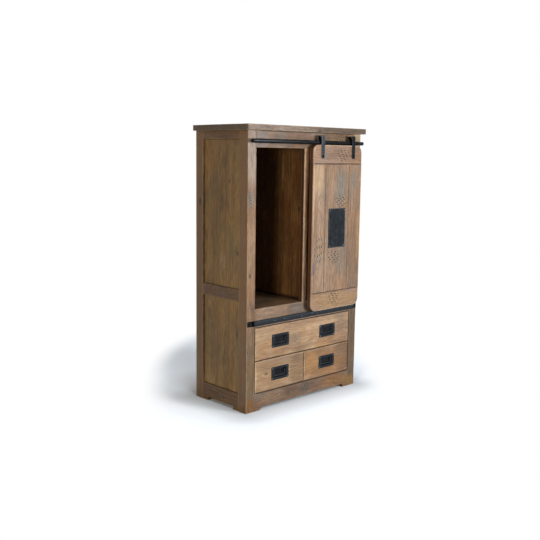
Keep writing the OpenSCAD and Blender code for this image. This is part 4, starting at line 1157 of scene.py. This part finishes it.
# Plate on the door: cast, with a narrow raised rim round a sunk field
plateShape = {"rim": 5, "rise": 0.9, "corner": 3, "rivetIn": 10, "rivet": 4, "rivetDome": 2}
low, high = span("door_plate")
centre = ((low.x + high.x) / 2, low.y, (low.z + high.z) / 2)
wide, tall, thick = high.x - low.x, high.z - low.z, high.y - low.y
corner, rise = plateShape["corner"], plateShape["rise"]
inset = 2 * plateShape["rim"]
steps = [(0, thick, 0), (0, 0.8, 0.6), (0.5, 0.2, 1), (1.8, 0, 0.8), (inset, 0, 0.5), (inset + 1.6, rise, 0),
         (inset + 8, rise, 0)]
plate = bmesh.new()
stackLoops(plate, [roundedLoop(wide - less, tall - less, corner, depth) for less, depth, _ in steps], centre,
           [worn for _, _, worn in steps])
finishPiece("doorPlate", plate, plateIron, "door", ["door_plate"])
rivets = bmesh.new()
headRound, headHigh = plateShape["rivet"], plateShape["rivetDome"]
for sx in (-1, 1):
    for sz in (-1, 1):
        spot = (centre[0] + sx * (wide / 2 - plateShape["rivetIn"]), low.y,
                centre[2] + sz * (tall / 2 - plateShape["rivetIn"]))
        profile = [(-headHigh, 0)]
        for angle in (math.radians(a) for a in (18, 36, 54, 72, 88)):
            profile.append((-headHigh * math.cos(angle), headRound * math.sin(angle)))
        profile += [(0.9, headRound), (0.9, 2), (14, 2), (15, 0)]
        lathe(rivets, profile, "Y", spot, 24, [1, 1, 0.8, 0.6, 0.3, 0, 0, 0, 0, 0])
finishPiece("plateRivets", rivets, paintedLitStrapIron, "door", ["plate_rivets"])

# Channel under the door, walls 3 mm thick with uneven lips, as points (depth, height, rubbing) of its section
channelShape = {"stations": 29, "uneven": 0.25, "middle": 8, "lipAbove": 20}
section = [(0, 6.5, 0.2), (0.5, 4, 0.5), (1.9, 1.9, 0.5), (4, 0.5, 0.2), (6.5, 0, 0), (16.2, 0, 0),
           (16.75, 0.25, 0.5), (17, 0.8, 0.5), (17, 27.2, 0), (16.6, 27.8, 0.5), (14.4, 27.8, 0.5),
           (14, 27.2, 0), (14, 3.6, 0), (13.4, 3, 0), (3.6, 3, 0), (3, 3.6, 0), (3, 27.2, 0.6),
           (2.6, 27.8, 1), (0.5, 28, 1), (0.15, 27.6, 1), (0, 27, 0.6)]
low, high = span("guide_channel")
channel = bmesh.new()
layer = layerOf(channel, "wear")
rings = []
for k in range(channelShape["stations"] + 1):
    x = low.x + (high.x - low.x) * k / channelShape["stations"]
    ring = []
    for a, b, worn in section:
        uneven = abs(noise.noise(Vector((x * 0.03, a * 0.2, b * 0.1))) * channelShape["uneven"])
        y = low.y + a + (uneven if a < channelShape["middle"] else -uneven)
        z = low.z + b - (uneven if b > channelShape["lipAbove"] else 0)
        vert = channel.verts.new(Vector((x, y, z)) / 1000)
        vert[layer] = worn
        ring.append(vert)
    rings.append(ring)
skinRings(channel, rings)
finishPiece("guideChannel", channel, channelIron, "carcase", ["guide_channel"])

# End plates and their six-sided bolts
endShape = {"wide": 36, "thick": 4, "corner": 2, "boltLong": 30}
low, high = span("guide_end_plates")
ends = bmesh.new()
endBolts = bmesh.new()
wide, tall, corner = endShape["wide"], high.z - low.z, endShape["corner"]
for x in (low.x + wide / 2, high.x - wide / 2):
    centre = (x, low.y, (low.z + high.z) / 2)
    steps = ((0, endShape["thick"]), (0, 0.9), (0.6, 0.25), (2, 0))
    stackLoops(ends, [roundedLoop(wide - less, tall - less, corner, depth) for less, depth in steps], centre,
               [0, 0.6, 1, 0.4])
    long = endShape["boltLong"]
    profile = [(-4, 0), (-4, 5.6), (-3.4, 7.4), (-0.4, 7.5), (0, 7.0), (0, 3.4), (long, 3.4), (long, 0)]
    lathe(endBolts, profile, "Y", centre, 6, [0.6, 1, 1, 0.5, 0, 0, 0, 0])
finishPiece("guideEndPlates", ends, blackIronAndShade, "carcase", ["guide_end_plates"])
finishPiece("guideBolts", endBolts, blackIronAndShade, "carcase", ["guide_bolts"])

# Shoes behind the door, a block on the door and a tongue down into the channel
shoeShape = {"half": 25, "tongue": 5}
low, high = span("guide_shoes")
shoes = bmesh.new()
doorLow = span("door_bottom_rail")[0].z
for name in ("left", "right"):
    x = middleOf(*span("hanger_" + name)).x
    u0, u1 = -x - shoeShape["half"], -x + shoeShape["half"]
    addBoard(shoes, "back", high.y, square(u0, u1, doorLow, high.z, 3), high.y - low.y, arris=1, soft=3,
             tint=0, rough=0)
    addBoard(shoes, "back", high.y, square(u0, u1, low.z, doorLow + 1, 1), shoeShape["tongue"], arris=0.8,
             soft=2, tint=0, rough=0)
finishPiece("guideShoes", shoes, shoeNylon, "door", ["guide_shoes"])
print("plate and channel made")

# Pulls: pressed plates with a sunk dish, four slotted screws and a bail each
bailShape = {"radius": 3, "pin": 2, "bend": 7, "wide": 84}
plateFront = span("top_drawer_front")[0].y - pullShape["thick"]
thick, deep = pullShape["thick"], pullShape["deep"]
plateWide, plateHigh, plateRound = pullShape["plate"]
dish = pullShape["dish"]
openWide, openHigh, openRound = pullShape["open"]
for name, (x, z) in pullSpots.items():
    loops = [roundedLoop(*dish, thick + deep), roundedLoop(*dish, thick)]
    for less, tighter, depth in ((0, 0, thick), (0, 0, 0.7), (0.5, 0, 0.2), (1.8, 0.6, 0)):
        loops.append(roundedLoop(plateWide - less, plateHigh - less, plateRound - tighter, depth))
    # the rim of the opening rolls into the dish
    for less, tighter, depth in ((-3, 0, 0), (-0.8, 0, 0.5), (0, 0, 1.6), (1, 0, deep - 3),
                                 (3, 0, deep - 0.4), (7, 2, deep + thick - 1.6)):
        loops.append(roundedLoop(openWide - less, openHigh - less, openRound - tighter, depth))
    pull = bmesh.new()
    stackLoops(pull, loops, (x, plateFront, z), [0, 0, 0, 0.6, 1, 0.6, 0.3, 1, 0.6, 0, 0, 0])
    body = [drawer for drawer, names in pullsOf.items() if name in names][0]
    tag = name.title().replace("_", "")
    finishPiece("pullPlate" + tag, pull, pullIron, body, ["pull_" + name])
    screws = bmesh.new()
    for sx in (-1, 1):
        for sz in (-1, 1):
            spot = (x + sx * (plateWide / 2 - pullShape["screwIn"]), plateFront,
                    z + sz * (plateHigh / 2 - pullShape["screwIn"]))
            addScrew(screws, spot, pullShape["screwWide"] / 2, pullShape["screwHigh"],
                     random.uniform(0, math.pi))
    finishPiece("pullScrews" + tag, screws, screwIron, body, [])

    # bail: a round bar from pin to pin, thinner at its ends
    low, high = span("bail_" + name)
    y = (low.y + high.y) / 2
    radius, bend, pin = bailShape["radius"], bailShape["bend"], bailShape["pin"]
    pivot = high.z - radius
    grip = low.z + radius
    arm = bailShape["wide"] / 2 - radius
    tips = (2.6, 1.4, -4)  # above the pins' axis
    path = [Vector((x - arm, y, pivot + tip)) for tip in tips]
    path += arc((x - arm + bend, y, grip + bend), bend, 180, 270, 7, ((1, 0, 0), (0, 0, 1)))
    path += [Vector((x - arm * 0.5, y, grip)), Vector((x, y, grip)), Vector((x + arm * 0.5, y, grip))]
    path += arc((x + arm - bend, y, grip + bend), bend, 270, 360, 7, ((1, 0, 0), (0, 0, 1)))
    path += [Vector((x + arm, y, pivot + tip)) for tip in reversed(tips)]
    sizes = [1.2, 2.5] + [radius] * (len(path) - 4) + [2.5, 1.2]
    bail = bmesh.new()
    sweep(bail, path, sizes, sizes, (0, 1, 0), wear=0.35)
    pinEnd = (high.x - low.x) / 2
    for side in (-1, 1):
        profile = [(arm - 1, 0), (arm - 1, pin), (pinEnd - 0.5, pin), (pinEnd, 1.4), (pinEnd, 0)]
        lathe(bail, [(side * along, thin) for along, thin in profile], "X", (x, y, pivot), 18)
    finishPiece("bail" + tag, bail, bailIron, "bail_" + name, ["bail_" + name])
print("pulls made")

# Studio: matt paper, white to the camera, with the object's shadow from lamps and a painted shade round its
# feet
# foot is half the footprint and where its middle lies in y, middle, oval and lean place the white's rim
floorLook = {"colour": "#ecf2f9", "bounce": "#76787b", "glowColour": "#eaf4ff", "glow": 0.37, "shade": 0.45,
             "close": 0.17, "foot": (0.428, 0.212, 0.024), "size": 40, "fade": (0.6, 0.8),
             "middle": (0.253, 0.421, 0), "lean": 40, "oval": (0.94, 2.2, 1.75)}
floorMesh = bmesh.new()
bmesh.ops.create_grid(floorMesh, x_segments=8, y_segments=8, size=floorLook["size"] / 2)
floorData = bpy.data.meshes.new("studioFloor")
floorMesh.to_mesh(floorData)
floorMesh.free()
floor = bpy.data.objects.new("studioFloor", floorData)
scene.collection.objects.link(floor)
paper = bpy.data.materials.new("paleStudioPaper")
tree = emptyTree(paper)
seen = seenRays(tree)
place = addNode(tree, "TexCoord").outputs["Object"]
# distance from the footprint: painted shade, the paper and its glow darken close to the feet
away = addNode(tree, "VectorMath", {0: place, 1: (0, floorLook["foot"][2], 0)},
               operation="SUBTRACT").outputs[0]
away = addNode(tree, "VectorMath", {0: away}, operation="ABSOLUTE").outputs[0]
away = addNode(tree, "VectorMath", {0: away, 1: (*floorLook["foot"][:2], 0)}, operation="SUBTRACT").outputs[0]
away = addNode(tree, "VectorMath", {0: away, 1: (0, 0, 0)}, operation="MAXIMUM").outputs[0]
clearance = addNode(tree, "VectorMath", {0: away}, operation="LENGTH").outputs["Value"]
shaded = addNode(tree, "MapRange", {0: clearance, 1: 0.0, 2: floorLook["close"], 3: 0.66, 4: 1.0}).outputs[0]
shaded = addNode(tree, "VectorMath", {0: linear(floorLook["colour"])[:3], "Scale": shaded},
                 operation="SCALE").outputs[0]
matt = addNode(tree, "BsdfDiffuse", {"Color": shaded, "Roughness": 0.5}).outputs[0]
clearance = addNode(tree, "MapRange",
                    {0: clearance, 1: 0.0, 2: floorLook["shade"], 3: 0.0, 4: floorLook["glow"]}).outputs[0]
lift = addNode(tree, "Emission", {"Color": linear(floorLook["glowColour"]), "Strength": clearance}).outputs[0]
near = addNode(tree, "AddShader", {0: matt, 1: lift}).outputs[0]
# the paper turns plain white away from the object, along an oval that leans back like the shadow
away = addNode(tree, "VectorMath", {0: place, 1: floorLook["middle"]}, operation="SUBTRACT").outputs[0]
away = addNode(tree, "VectorRotate", {"Vector": away, "Angle": math.radians(floorLook["lean"])},
               rotation_type="Z_AXIS").outputs[0]
oval = floorLook["oval"]
ahead = addNode(tree, "VectorMath", {0: away, 1: (1 / oval[0], 1 / oval[1], 0)},
                operation="MULTIPLY").outputs[0]
behind = addNode(tree, "VectorMath", {0: away, 1: (1 / oval[0], 1 / oval[2], 0)},
                 operation="MULTIPLY").outputs[0]
away = addNode(tree, "VectorMath", {0: ahead, 1: behind}, operation="MAXIMUM").outputs[0]
away = addNode(tree, "VectorMath", {0: away}, operation="LENGTH").outputs["Value"]
fade = addNode(tree, "MapRange", {0: away, 1: floorLook["fade"][0], 2: floorLook["fade"][1]},
               interpolation_type="SMOOTHSTEP").outputs[0]
clear = addNode(tree, "Emission", {"Color": (1, 1, 1, 1), "Strength": 1.0}).outputs[0]
shown = addNode(tree, "MixShader", {0: fade, 1: near, 2: clear}).outputs[0]
# what it throws back on the object is a mid grey
bounce = addNode(tree, "BsdfDiffuse", {"Color": linear(floorLook["bounce"]), "Roughness": 0.5}).outputs[0]
both = addNode(tree, "MixShader", {0: seen, 1: bounce, 2: shown}).outputs[0]
addNode(tree, "OutputMaterial", {0: both})
floorData.materials.append(paper)
floor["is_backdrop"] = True

worldLook = {"colour": "#e8eef6", "level": 0.03}
world = bpy.data.worlds.new("studioWorld")
scene.world = world
tree = emptyTree(world)
seen = seenRays(tree)
dim = addNode(tree, "Background",
              {"Color": linear(worldLook["colour"]), "Strength": worldLook["level"]}).outputs[0]
white = addNode(tree, "Background", {"Color": (1, 1, 1, 1), "Strength": 1.0}).outputs[0]
both = addNode(tree, "MixShader", {0: seen, 1: dim, 2: white}).outputs[0]
addNode(tree, "OutputWorld", {0: both})

# Lamps, each from a turn right of the front and a rise in degrees: a broad key a little right of the front, a
# warmer fill from the left, and weak ones from above and behind. Two light the paper alone, so that the
# shadow lies behind the object, and one the rail alone, for its thin line of light
lampLooks = {
    "keyLamp": {"from": (17, 7), "far": 5.0, "size": 1.8, "watts": 193, "colour": "#ffffff"},
    "fillLamp": {"from": (-62, 8), "far": 5.0, "size": 1.0, "watts": 92, "colour": "#fff1dc"},
    "topLamp": {"from": (0, 86), "far": 4.0, "size": 2.4, "watts": 34, "colour": "#f4f8ff", "on": "object"},
    "backLamp": {"from": (150, 30), "far": 5.0, "size": 2.0, "watts": 70, "colour": "#f6f9ff",
                 "on": "object"},
    "paperLamp": {"from": (-25, 38), "far": 6.0, "size": 3.6, "watts": 150, "colour": "#f7fbff",
                  "on": "floor"},
    "highPaperLamp": {"from": (22, 62), "far": 4.5, "size": 2.6, "watts": 34, "colour": "#f7fbff",
                      "on": "floor"},
    "railLamp": {"from": (35.4, 16), "far": 5.0, "size": 1.0, "watts": 420, "colour": "#f0f6ff",
                 "on": "rail"}}
aim = Vector((0, -0.1, 0.75))  # a little in front of the middle
floorGroup = bpy.data.collections.new("litFloor")
floorGroup.objects.link(floor)
darkFloorGroup = bpy.data.collections.new("unlitFloor")
darkFloorGroup.objects.link(floor)
darkFloorGroup.collection_objects[0].light_linking.link_state = "EXCLUDE"
railGroup = bpy.data.collections.new("litRail")
railGroup.objects.link(doorRail)
litBy = {"floor": floorGroup, "object": darkFloorGroup, "rail": railGroup}
for name, look in lampLooks.items():
    turn, rise = (math.radians(a) for a in look["from"])
    way = Vector((math.sin(turn) * math.cos(rise), -math.cos(turn) * math.cos(rise), math.sin(rise)))
    data = bpy.data.lights.new(name, "AREA")
    data.shape = "DISK"
    data.size = look["size"]
    data.energy = look["watts"]
    data.color = linear(look["colour"])[:3]
    lamp = bpy.data.objects.new(name, data)
    scene.collection.objects.link(lamp)
    lamp.location = aim + way * look["far"]
    lamp.rotation_euler = (-way).to_track_quat("-Z", "Y").to_euler()
    if "on" in look:
        lamp.light_linking.receiver_collection = litBy[look["on"]]

# Camera fitted to the photograph
view = {"place": (-3.0303, -3.1353, 1.3435), "yaw": 43.138, "down": 8.348, "roll": -0.739, "lens": 51.93,
        "sensor": 36}
yaw, pitch, roll = (math.radians(view[key]) for key in ("yaw", "down", "roll"))
forward = Vector((math.sin(yaw) * math.cos(pitch), math.cos(yaw) * math.cos(pitch), -math.sin(pitch)))
right = Vector((math.cos(yaw), -math.sin(yaw), 0))
down = forward.cross(right)
turnedRight = right * math.cos(roll) + down * math.sin(roll)
turnedDown = down * math.cos(roll) - right * math.sin(roll)
lens = bpy.data.cameras.new("photoCamera")
lens.sensor_fit = "HORIZONTAL"
lens.sensor_width = view["sensor"]
lens.lens = view["lens"]
camera = bpy.data.objects.new("photoCamera", lens)
scene.collection.objects.link(camera)
basis = Matrix((turnedRight, -turnedDown, -forward)).transposed().to_4x4()
camera.matrix_world = Matrix.Translation(view["place"]) @ basis
scene.camera = camera
scene.view_settings.view_transform = "Standard"
print("studio made")

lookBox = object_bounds()
sizes = {"cad": [[float(v) for v in corner] for corner in cadBox],
         "visual": [[float(v) for v in corner] for corner in lookBox]}
